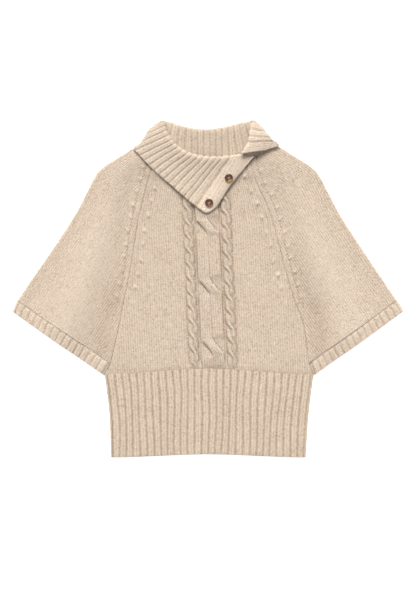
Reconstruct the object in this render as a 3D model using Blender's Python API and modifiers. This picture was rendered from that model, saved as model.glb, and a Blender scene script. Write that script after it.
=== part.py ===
"""Cropped cable-knit sweater laid flat on its back, front up.

Wide raglan half-sleeves, a deep ribbed waistband, ribbed cuffs, a cable panel down the front and
a split, turned-down ribbed collar with tortoise buttons. Lengths below are millimetres; the mesh
is made in metres. +X is the viewer's right, +Y runs from the hem to the neck, +Z is up.
"""

import math

import bmesh
import bpy
import numpy as np
from mathutils import Vector

MM = 0.001

# Walls
CLOTH = 2.8  # plain knit
RIB_WALL = 2.4  # ribbing at a groove
RIB_RISE = 1.4  # top of a rib over its groove
COLLAR_WALL = 2.0
COLLAR_RISE = 1.3
BAND_RISE = 0.7  # the plain end bands of the collar
LAYER_GAP = 0.5  # front layer over back layer
SEAM = 0.4  # between sewn edges

# Waistband and cuffs
WAIST_RIBS = 28  # across the front
CUFF_RIBS = 15  # across the front of one cuff
CUFF_DEPTH = 24.0
CUFF_CLEAR = 1.2  # a cuff's inner end stands this far off the body
FOLD_ROUND = 1.15  # how far a side fold reaches out, in half heights of the flattened tube

# Cable panel
PANEL_X, PANEL_Y, PANEL_LEAN = 1.4, 57.0, -0.044  # the middle line: x at y, and how it leans
ROPE_HALF, ROPE_RISE, ROPE_PITCH, ROPE_SWAP = 20.5, 4.0, 108.0, 54.0
ROPE_CROSSING_Y = 5.0  # one crossing; the others are a pitch apart
SIDE_ROPE_AT, SIDE_HALF, SIDE_RISE, SIDE_PITCH = 34.0, 7.6, 3.0, 25.5
GUTTER = 0.8  # purl gutters lie this much lower
PANEL_FADE_Y, PANEL_FADE = 165.0, 12.0  # under the collar the panel goes plain

# Buttons
BUTTON_RADIUS, BUTTON_THICK, BUTTON_HOLE, BUTTON_HOLE_AT = 7.5, 2.6, 0.95, 1.75

# The back of the collar lies under the back of the neck and lifts it
LIFT, LIFT_Y, LIFT_RUN, LIFT_X, LIFT_SIDE = 2.6, 190.0, 22.0, 135.0, 24.0

# Sleeve rows from the neck to the cuff: the raglan seam, the overarm fold, then the shape of the
# front layer between them: where its valley and ridge lie (0 raglan, 1 overarm) and their heights
SLEEVE_COLUMNS = "raglan_x raglan_y over_x over_y valley_at valley ridge_at ridge edge".split()
SLEEVE_RIGHT = (
    (-98.0, 223.0, -106.0, 243.0, 0.25, 8.3, 0.60, 8.8, 8.4),
    (-103.0, 210.0, -138.0, 251.2, 0.25, 7.0, 0.60, 7.8, 5.3),
    (-104.6, 204.6, -147.5, 244.9, 0.24, 6.7, 0.60, 8.1, 5.45),
    (-108.5, 192.0, -169.0, 231.8, 0.22, 6.0, 0.60, 8.8, 5.8),
    (-117.0, 159.0, -198.0, 210.2, 0.20, 5.3, 0.58, 9.6, 5.8),
    (-124.4, 129.2, -216.0, 177.8, 0.20, 5.2, 0.56, 11.0, 5.8),
    (-132.5, 80.0, -238.0, 136.0, 0.20, 5.1, 0.55, 13.0, 6.0),
    (-141.0, 27.0, -264.0, 95.0, 0.20, 5.0, 0.54, 15.0, 6.4),
    (-153.2, -31.8, -292.0, 53.5, 0.20, 4.9, 0.52, 17.0, 6.8),
    (-164.0, -86.0, -318.0, 16.5, 0.20, 4.9, 0.50, 18.4, 7.0),
    (-175.0, -134.6, -343.0, -21.5, 0.20, 5.0, 0.50, 18.8, 7.2),
)
SLEEVE_LEFT = (
    (76.5, 232.0, 102.0, 245.4, 0.25, 8.3, 0.60, 8.8, 8.4),
    (78.0, 221.5, 122.0, 257.0, 0.25, 7.6, 0.60, 8.0, 5.2),
    (81.5, 206.0, 136.0, 251.2, 0.25, 7.0, 0.60, 8.2, 5.6),
    (85.6, 195.4, 147.6, 243.3, 0.24, 6.6, 0.59, 8.5, 5.7),
    (91.0, 181.5, 165.0, 233.0, 0.22, 6.0, 0.58, 8.8, 5.8),
    (104.0, 155.0, 195.0, 210.8, 0.18, 5.3, 0.55, 9.6, 5.8),
    (115.0, 126.0, 213.0, 180.0, 0.16, 5.2, 0.52, 11.0, 5.8),
    (129.0, 72.0, 238.0, 133.0, 0.15, 5.1, 0.48, 13.0, 6.0),
    (142.2, 22.9, 264.0, 92.5, 0.14, 5.0, 0.45, 15.0, 6.4),
    (156.0, -23.0, 290.0, 53.0, 0.14, 4.9, 0.43, 16.8, 6.8),
    (172.0, -65.0, 315.0, 16.0, 0.14, 4.9, 0.42, 18.0, 7.0),
    (181.5, -134.6, 340.0, -21.0, 0.14, 5.0, 0.42, 18.4, 7.2),
)
# Where the raglans end at the back of the neck, and how far down they rejoin the front ones
BACK_TOP_RIGHT, BACK_TOP_LEFT, BACK_TOP_RUN = (-95.0, 235.5), (86.0, 236.5), 0.10
SLEEVE_ROWS = np.concatenate([[0.0, 0.04], np.linspace(0.09, 1.0, 14)])
# Cuff ends: the corner at the body and the corner at the overarm, at the cuff's open edge
CUFF_RIGHT = ((-186.5, -155.0), (-350.75, -41.5))
CUFF_LEFT = ((189.0, -155.5), (350.8, -40.5))

# Where a raglan meets the waist seam
WAIST_CORNER_RIGHT, WAIST_CORNER_LEFT = (-184.0, -153.6), (188.0, -153.6)

# Neck seam of the front, raglan to raglan, and of the back
FRONT_NECK = (
    (-98.0, 223.0), (-86.0, 211.0), (-67.5, 198.5), (-44.0, 187.5), (-15.0, 180.5),
    (17.0, 180.5), (35.0, 189.5), (52.5, 204.0), (67.0, 220.0), (76.5, 232.0),
)
BACK_NECK = ((-95.0, 235.5), (-50.0, 231.0), (0.0, 229.5), (45.0, 231.0), (86.0, 236.5))

# Waistband: half-widths and heights of its top seam and of its hem
WAIST_TOP_LEFT, WAIST_TOP_RIGHT, WAIST_TOP_Y, WAIST_TOP_ARCH = -184.5, 188.5, -153.5, 10.0
WAIST_MID_LEFT, WAIST_MID_RIGHT = -176.5, 180.0
WAIST_HEM_LEFT, WAIST_HEM_RIGHT, WAIST_HEM_Y, WAIST_HEM_ARCH = -173.5, 174.5, -302.95, 5.5

# Collar, a ribbed strip, section by section from its buttoned end at the front, round the right
# shoulder and the back to its other end on the left shoulder. ribs counts the strip's length.
# neck: the sewn edge. fold: the turned rim, its middle height and roll (90 the flap lies over
# the stand, -90 under it) and radius. flap, free: the flap half way and at its free edge.
COLLAR_COLUMNS = (
    "ribs neck_x neck_y neck_z stand_z fold_x fold_y fold_z roll radius "
    "half_z flap_x flap_y flap_z free_x free_y free_z"
).split()
COLLAR = (
    (0.0, 77.0, 236.4, 8.8, 9.8, 84.0, 236.2, 12.8, 90, 1.5, 13.6, 43.0, 189.5, 12.6, 16.6, 150.4, 12.8),
    (1.1, 66.5, 226.0, 8.2, 9.2, 70.2, 241.4, 11.4, 90, 1.5, 13.2, 36.0, 184.0, 12.8, 12.0, 144.0, 13.0),
    (2.1, 57.5, 213.5, 7.7, 9.6, 54.5, 240.8, 11.8, 90, 1.6, 13.6, 19.0, 178.0, 13.0, -4.5, 136.0, 13.2),
    (3.0, 46.0, 201.5, 7.2, 10.2, 38.0, 238.4, 14.0, 90, 2.0, 14.6, 1.2, 184.0, 13.0, -23.4, 149.0, 12.8),
    (5.4, 18.5, 184.5, 6.4, 10.2, 10.8, 236.4, 16.0, 90, 2.1, 15.6, -23.2, 194.7, 13.2, -45.9, 167.9, 11.8),
    (7.7, -14.0, 182.0, 6.4, 10.2, -14.4, 238.3, 15.6, 90, 2.1, 15.2, -46.1, 207.3, 12.6, -67.3, 186.5, 9.9),
    (10.0, -42.0, 189.5, 6.8, 10.2, -37.0, 245.0, 14.6, 90, 2.1, 14.6, -67.6, 220.8, 12.2, -88.2, 204.6, 10.7),
    (12.0, -65.0, 200.0, 7.4, 10.2, -54.0, 255.5, 13.8, 90, 2.1, 14.2, -85.2, 235.0, 12.4, -106.0, 221.2, 11.5),
    (14.0, -83.5, 213.0, 8.0, 10.2, -65.5, 268.0, 12.8, 88, 2.0, 13.4, -99.4, 250.6, 12.0, -122.4, 239.0, 10.8),
    (15.6, -93.0, 225.5, 8.6, 9.8, -73.8, 281.5, 11.4, 80, 2.0, 12.2, -109.5, 264.0, 10.4, -133.2, 252.5, 8.2),
    (17.0, -98.5, 234.8, 8.2, 8.9, -77.0, 292.5, 9.4, 50, 2.0, 10.4, -111.5, 275.2, 6.2, -118.0, 256.0, 1.1),
    (18.4, -104.0, 246.2, 6.2, 6.7, -80.5, 301.7, 6.4, 0, 2.0, 5.4, -95.4, 291.6, 3.2, -104.0, 258.0, 1.0),
    (19.3, -98.5, 241.0, 4.3, 4.9, -77.0, 301.8, 4.4, -55, 2.0, 1.9, -82.0, 286.0, 1.1, -93.0, 236.0, 1.0),
    (20.3, -89.0, 237.0, 4.0, 4.7, -69.5, 300.6, 3.1, -88, 2.0, 1.0, -75.0, 266.0, 1.0, -82.0, 218.0, 1.0),
    (22.5, -50.0, 233.0, 4.0, 4.6, -45.5, 293.4, 3.05, -90, 2.05, 1.0, -46.0, 258.0, 1.0, -48.0, 215.0, 1.0),
    (26.2, -5.0, 231.5, 4.0, 4.6, -5.4, 287.6, 3.05, -90, 2.05, 1.0, -5.0, 255.0, 1.0, -5.0, 214.0, 1.0),
    (30.0, 38.0, 232.5, 4.0, 4.6, 35.3, 293.0, 3.05, -90, 2.05, 1.0, 36.0, 258.0, 1.0, 38.0, 215.0, 1.0),
    (32.7, 80.0, 238.0, 4.0, 4.7, 62.0, 300.0, 3.1, -88, 2.0, 1.0, 66.0, 266.0, 1.0, 74.0, 218.0, 1.0),
    (33.7, 94.0, 243.0, 4.2, 5.0, 73.0, 301.8, 4.4, -55, 2.0, 1.9, 77.0, 286.0, 1.1, 86.0, 236.0, 1.0),
    (34.7, 101.5, 247.4, 6.2, 7.0, 79.8, 301.8, 6.8, 0, 2.0, 5.8, 93.6, 290.4, 3.6, 101.0, 260.0, 1.0),
    (35.8, 98.5, 245.2, 8.4, 9.6, 77.0, 289.5, 11.2, 50, 2.0, 12.6, 101.8, 281.6, 8.2, 106.0, 262.0, 1.1),
    (36.9, 94.4, 242.8, 9.2, 12.8, 74.4, 275.0, 15.2, 80, 2.0, 16.2, 111.2, 270.6, 10.6, 114.5, 262.0, 2.6),
    (38.2, 89.0, 240.4, 9.8, 17.6, 71.3, 261.3, 19.2, 88, 1.7, 19.6, 111.0, 263.0, 14.4, 122.0, 263.8, 9.0),
    (39.6, 83.5, 237.6, 10.4, 19.6, 58.7, 241.2, 21.6, 90, 1.5, 22.0, 100.0, 247.6, 16.8, 129.0, 256.8, 10.8),
)
BAND_RIBS, END_RIBS, STRIP_RIBS = 3.0, 38.4, 39.6

# Buttons: x, y, and for the one tucked between the collar's ends the height and lean of its back
BUTTONS = (
    ("button_upper", 37.8, 198.3, None, None),
    ("button_lower", 1.8, 153.4, None, None),
    ("button_inner", 68.0, 246.0, 13.9, (0.10, 0.22, 1.0)),
)
BUTTON_GAP = 0.5

YARN = (0.72, 0.60, 0.47, 1.0)
TORTOISE = (0.10, 0.045, 0.02, 1.0)


def smooth(t):
    t = np.clip(t, 0.0, 1.0)
    return t * t * (3.0 - 2.0 * t)


def hermite(knots, values, at):
    """A smooth curve through the values at their knots."""
    knots = np.asarray(knots, float)
    values = np.asarray(values, float)
    at = np.asarray(at, float)
    steps = np.diff(knots)
    slopes = np.diff(values, axis=0) / steps.reshape(-1, *[1] * (values.ndim - 1))
    tangents = np.empty_like(values)
    tangents[0] = slopes[0]
    tangents[-1] = slopes[-1]
    for k in range(1, len(knots) - 1):
        before, after = steps[k - 1], steps[k]
        tangents[k] = (slopes[k - 1] * after + slopes[k] * before) / (before + after)
    k = np.clip(np.searchsorted(knots, at, side="right") - 1, 0, len(steps) - 1)
    shape = (-1,) + (1,) * (values.ndim - 1)
    step = steps[k].reshape(shape)
    t = ((at - knots[k]) / steps[k]).reshape(shape)
    return (
        (2 * t**3 - 3 * t**2 + 1) * values[k]
        + (t**3 - 2 * t**2 + t) * step * tangents[k]
        + (3 * t**2 - 2 * t**3) * values[k + 1]
        + (t**3 - t**2) * step * tangents[k + 1]
    )


def chords(points):
    points = np.asarray(points, float)
    lengths = np.linalg.norm(np.diff(points, axis=0), axis=1)
    return np.concatenate([[0.0], np.cumsum(lengths)]) / lengths.sum()


def curve_at(points, fractions):
    return hermite(chords(points), np.asarray(points, float), np.asarray(fractions, float))


def sleeve_values(table, rows):
    columns = np.array(table, float)
    return hermite(chords(columns[:, 2:4]), columns, rows)


def back_shift(table, rows):
    """How far the back raglan lies from the front one."""
    top = np.array(BACK_TOP_RIGHT if table is SLEEVE_RIGHT else BACK_TOP_LEFT)
    away = top - np.array(table[0][:2])
    return (1.0 - smooth(np.asarray(rows) / BACK_TOP_RUN))[..., None] * away


def raglan_line(table, back=False):
    """A raglan's corners from the waist seam up to the neck, the same ones as the sleeve's rows."""
    line = sleeve_values(table, SLEEVE_ROWS)[:, :2]
    if back:
        line = line + back_shift(table, SLEEVE_ROWS)
    end = WAIST_CORNER_RIGHT if table is SLEEVE_RIGHT else WAIST_CORNER_LEFT
    return np.vstack([line, end])[::-1]


def parted(line, parts):
    """The line with each of its lengths cut into so many parts."""
    pieces = [np.linspace(a, b, n + 1)[:-1] for a, b, n in zip(line[:-1], line[1:], parts)]
    return np.concatenate(pieces + [line[-1:]])


def lift(x, y):
    return LIFT * smooth((y - LIFT_Y) / LIFT_RUN) * smooth((LIFT_X - np.abs(x)) / LIFT_SIDE)


def puff(x, y):
    """How far the front stands off the back: more beside the sleeves, less at the waist."""
    side = smooth(np.abs(x) / 185.0)
    low = smooth((60.0 - y) / 160.0)
    hem = smooth((-110.0 - y) / 40.0)
    return 0.9 + 1.5 * side * low * (1.0 - 0.6 * hem)


def front_mid(x, y):
    return CLOTH + LAYER_GAP + CLOTH / 2 + lift(x, y) + puff(x, y)


def rope(across, along, half, pitch, swap, crossing, rise):
    """Height of a two-strand rope whose upper-left strand crosses over to the lower right."""
    turn = np.round((crossing - along) / pitch)
    down = (crossing - turn * pitch - along) / swap
    shift = smooth(down + 0.5)
    bump = np.clip(1.0 - (2.0 * down) ** 2, 0.0, 1.0)
    off = half * 0.5
    over = (across - (2.0 * shift - 1.0) * off) / (half * 0.52)
    under = (across + (2.0 * shift - 1.0) * off) / (half * 0.52)
    top = (rise + 0.35 * rise * bump) * np.clip(1.0 - over**2, 0.0, 1.0) ** 0.6
    low = (rise - 0.45 * rise * bump) * np.clip(1.0 - under**2, 0.0, 1.0) ** 0.6
    return np.maximum(top, low)


def cable_rise(x, y):
    """Height of the front's outer face over the plain knit."""
    across = x - (PANEL_X + PANEL_LEAN * (y - PANEL_Y))
    height = rope(across, y, ROPE_HALF, ROPE_PITCH, ROPE_SWAP, ROPE_CROSSING_Y, ROPE_RISE)
    for side in (-1, 1):
        at = across - side * SIDE_ROPE_AT
        height = np.maximum(height, rope(at, y, SIDE_HALF, SIDE_PITCH, SIDE_PITCH, 0.0, SIDE_RISE))
    inner = np.abs(np.abs(across) - 23.5) < 2.6
    outer = np.abs(np.abs(across) - 44.5) < 2.6
    height = height - GUTTER * (inner | outer)
    return height * (1.0 - smooth((y - PANEL_FADE_Y) / PANEL_FADE))


def grid_normals(grid, closed=False):
    """Unit normals of a grid of points, by central differences. closed: the columns form a ring."""
    if closed:
        around = np.roll(grid, -1, axis=1) - np.roll(grid, 1, axis=1)
    else:
        around = np.gradient(grid, axis=1)
    along = np.gradient(grid, axis=0)
    normal = np.cross(around, along)
    return normal / np.maximum(np.linalg.norm(normal, axis=2, keepdims=True), 1e-9)


def zip_edges(first, second, first_at, second_at):
    """Triangles between two chains of vertex numbers, each with its place along the edge."""
    faces = []
    i = j = 0
    while i < len(first) - 1 or j < len(second) - 1:
        step_first = j == len(second) - 1 or (
            i < len(first) - 1 and first_at[i + 1] <= second_at[j + 1]
        )
        if step_first:
            faces.append((first[i], first[i + 1], second[j]))
            i += 1
        else:
            faces.append((first[i], second[j + 1], second[j]))
            j += 1
    return faces


def grid_faces(numbers, closed, turned):
    faces = []
    rows, cols = numbers.shape
    for r in range(rows - 1):
        for c in range(cols if closed else cols - 1):
            d = (c + 1) % cols
            quad = (numbers[r, c], numbers[r, d], numbers[r + 1, d], numbers[r + 1, c])
            faces.append(quad[::-1] if turned else quad)
    return faces


def wall(name, mid, outer, inner, yarn, closed=False):
    """A closed wall between two grids of points that may differ in their counts.

    Open: a sheet with four rims. closed: a tube whose columns form a ring, with two rims. The
    outer grid ends on the mid surface's first and last rows, so that ribs end squarely.
    """
    outer = np.concatenate([mid[:1], outer, mid[-1:]])
    outer_numbers = np.arange(outer.shape[0] * outer.shape[1]).reshape(outer.shape[:2])
    inner_numbers = np.arange(inner.shape[0] * inner.shape[1]).reshape(inner.shape[:2])
    inner_numbers = inner_numbers + outer_numbers.size
    points = np.concatenate([outer.reshape(-1, 3), inner.reshape(-1, 3)])
    faces = grid_faces(outer_numbers, closed, False) + grid_faces(inner_numbers, closed, True)

    def rim(out_chain, in_chain, turned):
        out_at = chords(points[out_chain])
        in_at = chords(points[in_chain])
        made = zip_edges(list(out_chain), list(in_chain), out_at, in_at)
        faces.extend([f if turned else f[::-1] for f in made])

    for row, turned in ((0, False), (-1, True)):
        out_chain = outer_numbers[row]
        in_chain = inner_numbers[row]
        if closed:
            out_chain = np.append(out_chain, out_chain[0])
            in_chain = np.append(in_chain, in_chain[0])
        rim(out_chain, in_chain, turned)
    if not closed:
        for col, turned in ((0, True), (-1, False)):
            rim(outer_numbers[:, col], inner_numbers[:, col], turned)

    mesh = bpy.data.meshes.new(name)
    mesh.from_pydata((points * MM).tolist(), [], [tuple(int(v) for v in f) for f in faces])
    work = bmesh.new()
    work.from_mesh(mesh)
    bmesh.ops.triangulate(work, faces=work.faces)
    bmesh.ops.recalc_face_normals(work, faces=work.faces)
    work.to_mesh(mesh)
    work.free()
    mesh.set_sharp_from_angle(angle=math.radians(50))
    piece = bpy.data.objects.new(name, mesh)
    mesh.materials.append(yarn)
    bpy.data.collections[COLLECTION].objects.link(piece)
    return piece


COLLECTION = "cropped_cable_knit_sweater"


def material(name, colour, roughness):
    made = bpy.data.materials.new(name)
    made.use_nodes = True
    shader = made.node_tree.nodes["Principled BSDF"]
    shader.inputs["Base Color"].default_value = colour
    shader.inputs["Roughness"].default_value = roughness
    shader.inputs["Metallic"].default_value = 0.0
    return made


def waist_edges(drop):
    """Left and right edge and the heights of a level of the waistband, drop 0 top to 1 hem."""
    lefts = (WAIST_TOP_LEFT, WAIST_MID_LEFT, WAIST_HEM_LEFT)
    rights = (WAIST_TOP_RIGHT, WAIST_MID_RIGHT, WAIST_HEM_RIGHT)
    left = hermite((0.0, 0.45, 1.0), lefts, [drop])[0]
    right = hermite((0.0, 0.45, 1.0), rights, [drop])[0]
    level = WAIST_TOP_Y + (WAIST_HEM_Y - WAIST_TOP_Y) * drop
    arch = WAIST_TOP_ARCH + (WAIST_HEM_ARCH - WAIST_TOP_ARCH) * drop
    return left, right, level, arch


def arch_y(x, left, right, level, arch):
    middle = (left + right) / 2
    return level + arch * (1.0 - smooth(np.abs(x - middle) / ((right - left) / 2)))


def front_panel(yarn):
    neck = np.array(FRONT_NECK)
    corners = (WAIST_CORNER_RIGHT, WAIST_CORNER_LEFT)

    def patch(columns, parts):
        """Coons patch between the raglans, the neck seam and the waist seam."""
        knots = (0.0, 0.30, 0.70, 1.0)
        bottom_x = np.interp(columns, knots, (corners[0][0], -39.0, 54.0, corners[1][0]))
        top_x = np.interp(columns, knots, (neck[0][0], -56.0, 42.0, neck[-1][0]))
        bottom_y = arch_y(bottom_x, *waist_edges(0.0)) + SEAM
        bottom = np.stack([bottom_x, bottom_y], axis=1)
        top = np.stack([top_x, hermite(neck[:, 0], neck[:, 1], top_x)], axis=1)
        sides = []
        for table, end, inward in ((SLEEVE_RIGHT, 0, 1), (SLEEVE_LEFT, -1, -1)):
            line = raglan_line(table)
            line[0, 1] = bottom_y[end]
            sides.append(parted(line, parts) + np.array([inward * SEAM / 2, 0.0]))
        rows = (chords(sides[0]) + chords(sides[1])) / 2
        u = columns[None, :, None]
        v = rows[:, None, None]
        bottom[0], bottom[-1] = sides[0][0], sides[1][0]
        top[0], top[-1] = sides[0][-1], sides[1][-1]
        ruled = (1 - v) * bottom[None] + v * top[None]
        across = (1 - u) * sides[0][:, None] + u * sides[1][:, None]
        left = (1 - u) * ((1 - v) * bottom[0] + v * top[0])
        right = u * ((1 - v) * bottom[-1] + v * top[-1])
        return ruled + across - left - right

    columns = np.concatenate([
        np.linspace(0.0, 0.28, 5)[:-1], np.linspace(0.28, 0.72, 25), np.linspace(0.72, 1.0, 5)[1:]
    ])
    lengths = np.linalg.norm(np.diff(raglan_line(SLEEVE_RIGHT), axis=0), axis=1)
    plan = patch(columns, np.maximum(1, np.round(lengths / 7.4)).astype(int))
    x, y = plan[..., 0], plan[..., 1]
    mid = np.dstack([x, y, front_mid(x, y)])
    outer = np.dstack([x, y, front_mid(x, y) + CLOTH / 2 + cable_rise(x, y)])
    plan = patch(np.linspace(0.0, 1.0, 9), np.ones(len(lengths), int))
    x, y = plan[..., 0], plan[..., 1]
    inner = np.dstack([x, y, front_mid(x, y) - CLOTH / 2])
    return wall("front_panel", mid, outer, inner, yarn)


def back_panel(yarn):
    columns = np.linspace(0.0, 1.0, 11)
    neck = curve_at(BACK_NECK, columns)[:, 1]
    bottom_x = np.linspace(WAIST_CORNER_RIGHT[0], WAIST_CORNER_LEFT[0], 11)
    bottom = arch_y(bottom_x, *waist_edges(0.0)) + 2.5 * SEAM
    right = raglan_line(SLEEVE_RIGHT, back=True) + np.array([SEAM / 2, 0.0])
    left = raglan_line(SLEEVE_LEFT, back=True) - np.array([SEAM / 2, 0.0])
    right[0, 1], left[0, 1] = bottom[0], bottom[-1]
    arch = bottom - np.linspace(bottom[0], bottom[-1], 11)
    dip = neck - np.linspace(neck[0], neck[-1], 11)
    up = chords(right)[:, None]
    x = right[:, :1] + (left[:, :1] - right[:, :1]) * columns
    y = right[:, 1:] + (left[:, 1:] - right[:, 1:]) * columns + arch * (1.0 - up) + dip * up
    low = np.dstack([x, y, lift(x, y)])
    mid = np.dstack([x, y, lift(x, y) + CLOTH / 2])
    top = np.dstack([x, y, lift(x, y) + CLOTH])
    return wall("back_panel", mid, low, top, yarn)


def sleeve_row(row, shift, front_count, edge_count, back_count):
    """One section of a sleeve: its mid line from the front raglan over the overarm to the back."""
    raglan = np.array([row["raglan_x"], row["raglan_y"]])
    over = np.array([row["over_x"], row["over_y"]])
    span = np.linalg.norm(over - raglan)
    way = (over - raglan) / span
    reach = span - CLOTH / 2
    low_start = CLOTH / 2 + float(lift(over[0], over[1]))
    edge = FOLD_ROUND * (row["edge"] - low_start) / 2
    start = float(front_mid(raglan[0], raglan[1]))
    knots = (0.0, row["valley_at"], row["ridge_at"], 1.0)
    heights = (start, row["valley"], row["ridge"], row["edge"])
    s = np.linspace(0.0, 1.0, front_count)
    run = s * (reach - edge) / span
    z = np.empty_like(run)
    for i, place in enumerate(run):
        k = min(max(np.searchsorted(knots, place, side="right") - 1, 0), 2)
        t_in = (place - knots[k]) / (knots[k + 1] - knots[k])
        z[i] = heights[k] + (heights[k + 1] - heights[k]) * smooth(t_in)
    away = run * span
    top_end = z[-1]
    centre = (top_end + low_start) / 2
    half = (top_end - low_start) / 2
    turn = np.linspace(math.pi / 2, -math.pi / 2, edge_count + 2)[1:-1]
    arc_away = reach - edge + edge * np.cos(turn)
    arc_z = centre + half * np.sin(turn)
    back = np.linspace(reach - edge, 0.0, back_count)
    back_xy = raglan + way * back[:, None] + shift * (1.0 - back[:, None] / (reach - edge))
    back_z = CLOTH / 2 + lift(back_xy[:, 0], back_xy[:, 1])
    front_xy = raglan + way * away[:, None]
    arc_xy = raglan + way * arc_away[:, None]
    xy = np.concatenate([front_xy, arc_xy, back_xy])
    return np.column_stack([xy, np.concatenate([z, arc_z, back_z])])


def sleeve_grid(table, counts, rows, side):
    shifts = back_shift(table, rows)
    grid = []
    for values, shift in zip(sleeve_values(table, rows), shifts):
        row = dict(zip(SLEEVE_COLUMNS, values))
        row["raglan_x"] += side * SEAM / 2
        grid.append(sleeve_row(row, shift, *counts))
    return np.array(grid)


def sleeve(name, table, side, yarn):
    """side: -1 for the sleeve at -X, 1 for the one at +X."""
    mid = sleeve_grid(table, (12, 4, 5), SLEEVE_ROWS, side)
    normal = grid_normals(mid) * -side
    outer = mid + normal * CLOTH / 2
    inner = mid - normal * CLOTH / 2
    floor = mid[..., 2] <= CLOTH / 2 + 1e-6
    outer[..., 2] = np.where(floor, 0.0, np.maximum(outer[..., 2], 0.0))
    inner[..., 2] = np.where(floor, CLOTH, inner[..., 2])
    for column, up in ((0, 1.0), (-1, -1.0)):
        outer[:, column] = mid[:, column] + np.array([0.0, 0.0, up * CLOTH / 2])
        inner[:, column] = mid[:, column] - np.array([0.0, 0.0, up * CLOTH / 2])
    return wall(name, mid, outer, inner, yarn)


def rib_profile(phase):
    """0 in a groove, 1 on a rib, the grooves at whole numbers."""
    from_groove = np.abs(phase - np.round(phase))
    return smooth((from_groove - 0.06) / 0.2)


def fold_reach(z):
    return FOLD_ROUND * (z - RIB_WALL / 2) / 2


def flat_tube(front_xyz, back_xy, side_count):
    """Mid ring of a flattened tube: the front layer, one side fold, the back layer, the other."""
    front = np.asarray(front_xyz, float)
    back_z = RIB_WALL / 2
    ring = [front]
    for end, way in ((front[-1], 1.0), (front[0], -1.0)):
        along = (front[-1] - front[0])[:2]
        along = along / np.linalg.norm(along) * way
        centre = (end[2] + back_z) / 2
        half = (end[2] - back_z) / 2
        turn = np.linspace(math.pi / 2, -math.pi / 2, side_count + 2)[1:-1]
        if way < 0:
            turn = turn[::-1]
        out = along * (fold_reach(end[2]) * np.cos(turn))[:, None]
        ring.append(np.column_stack([end[:2] + out, centre + half * np.sin(turn)]))
        if way > 0:
            ring.append(np.column_stack([np.asarray(back_xy, float), np.full(len(back_xy), back_z)]))
    return np.concatenate(ring)


def waist_front_z(s, drop):
    """Mid height of the waistband's front layer, s across and drop down."""
    swell = 0.7 * np.sin(np.pi * np.clip(s, 0.0, 1.0))
    return RIB_WALL + LAYER_GAP + RIB_WALL / 2 + 0.9 + swell - 0.7 * drop


def waist_ring(drop, across, back_count, side_count):
    left, right, level, arch = waist_edges(drop)
    inset = fold_reach(waist_front_z(0.0, drop)) + RIB_WALL / 2
    start = left + inset
    end = right - inset
    x = start + (end - start) * across
    y = arch_y(x, left, right, level, arch)
    front = np.column_stack([x, y, waist_front_z(across, drop)])
    back_x = np.linspace(end, start, back_count)
    back = np.column_stack([back_x, arch_y(back_x, left, right, level, arch)])
    return flat_tube(front, back, side_count)


def waistband(yarn):
    drops = (0.0, 0.33, 0.67, 1.0)
    phase = np.concatenate([[k, k + 0.27, k + 0.73] for k in range(WAIST_RIBS)] + [[WAIST_RIBS]])
    across = phase / WAIST_RIBS
    ring = np.array([waist_ring(d, across, 8, 4) for d in drops])
    rise = np.zeros(ring.shape[1])
    rise[: len(phase)] = RIB_RISE * rib_profile(phase)
    rise[len(phase): len(phase) + 4] = (0.4, 0.8, 0.8, 0.3)
    rise[-4:] = (0.3, 0.8, 0.8, 0.4)
    normal = -grid_normals(ring, closed=True)
    outer = ring + normal * (RIB_WALL / 2 + rise)[None, :, None]
    plain = np.array([waist_ring(d, np.linspace(0.0, 1.0, 9), 6, 2) for d in (0.0, 0.33, 0.67, 1.0)])
    inner = plain + grid_normals(plain, closed=True) * RIB_WALL / 2
    outer[..., 2] = np.maximum(outer[..., 2], 0.0)
    outer[:, len(phase) + 4: len(phase) + 12, 2] = 0.0
    return wall("waistband", ring, outer, inner, yarn, closed=True)


def cuff_ring(table, corners, side, deep, across, back_count, side_count):
    """Ring of a cuff, deep 0 at the sleeve and 1 at the open edge."""
    last = dict(zip(SLEEVE_COLUMNS, table[-1]))
    near = np.array([last["raglan_x"] + side * CUFF_CLEAR, last["raglan_y"]])
    far = np.array([last["over_x"], last["over_y"]])
    near = near + (np.array(corners[0]) + np.array([side * CUFF_CLEAR, 0.0]) - near) * deep
    far = far + (np.array(corners[1]) - far) * deep
    span = np.linalg.norm(far - near)
    way = (far - near) / span
    start = float(front_mid(last["raglan_x"], last["raglan_y"]))
    first = fold_reach(start) + RIB_WALL / 2
    reach = span - fold_reach(last["edge"]) - RIB_WALL / 2
    run = first + (reach - first) * across
    knots = (0.0, last["valley_at"], last["ridge_at"], 1.0)
    heights = (start, last["valley"], last["ridge"], last["edge"])
    z = np.empty_like(run)
    for i, place in enumerate(run / span):
        k = min(max(np.searchsorted(knots, place, side="right") - 1, 0), 2)
        t_in = (place - knots[k]) / (knots[k + 1] - knots[k])
        z[i] = heights[k] + (heights[k + 1] - heights[k]) * smooth(t_in)
    z = z - 1.2 * deep * (z - 4.0) / 14.0
    front = np.column_stack([near + way * run[:, None], z])
    back = near + way * np.linspace(reach, first, back_count)[:, None]
    return flat_tube(front, back, side_count)


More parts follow.
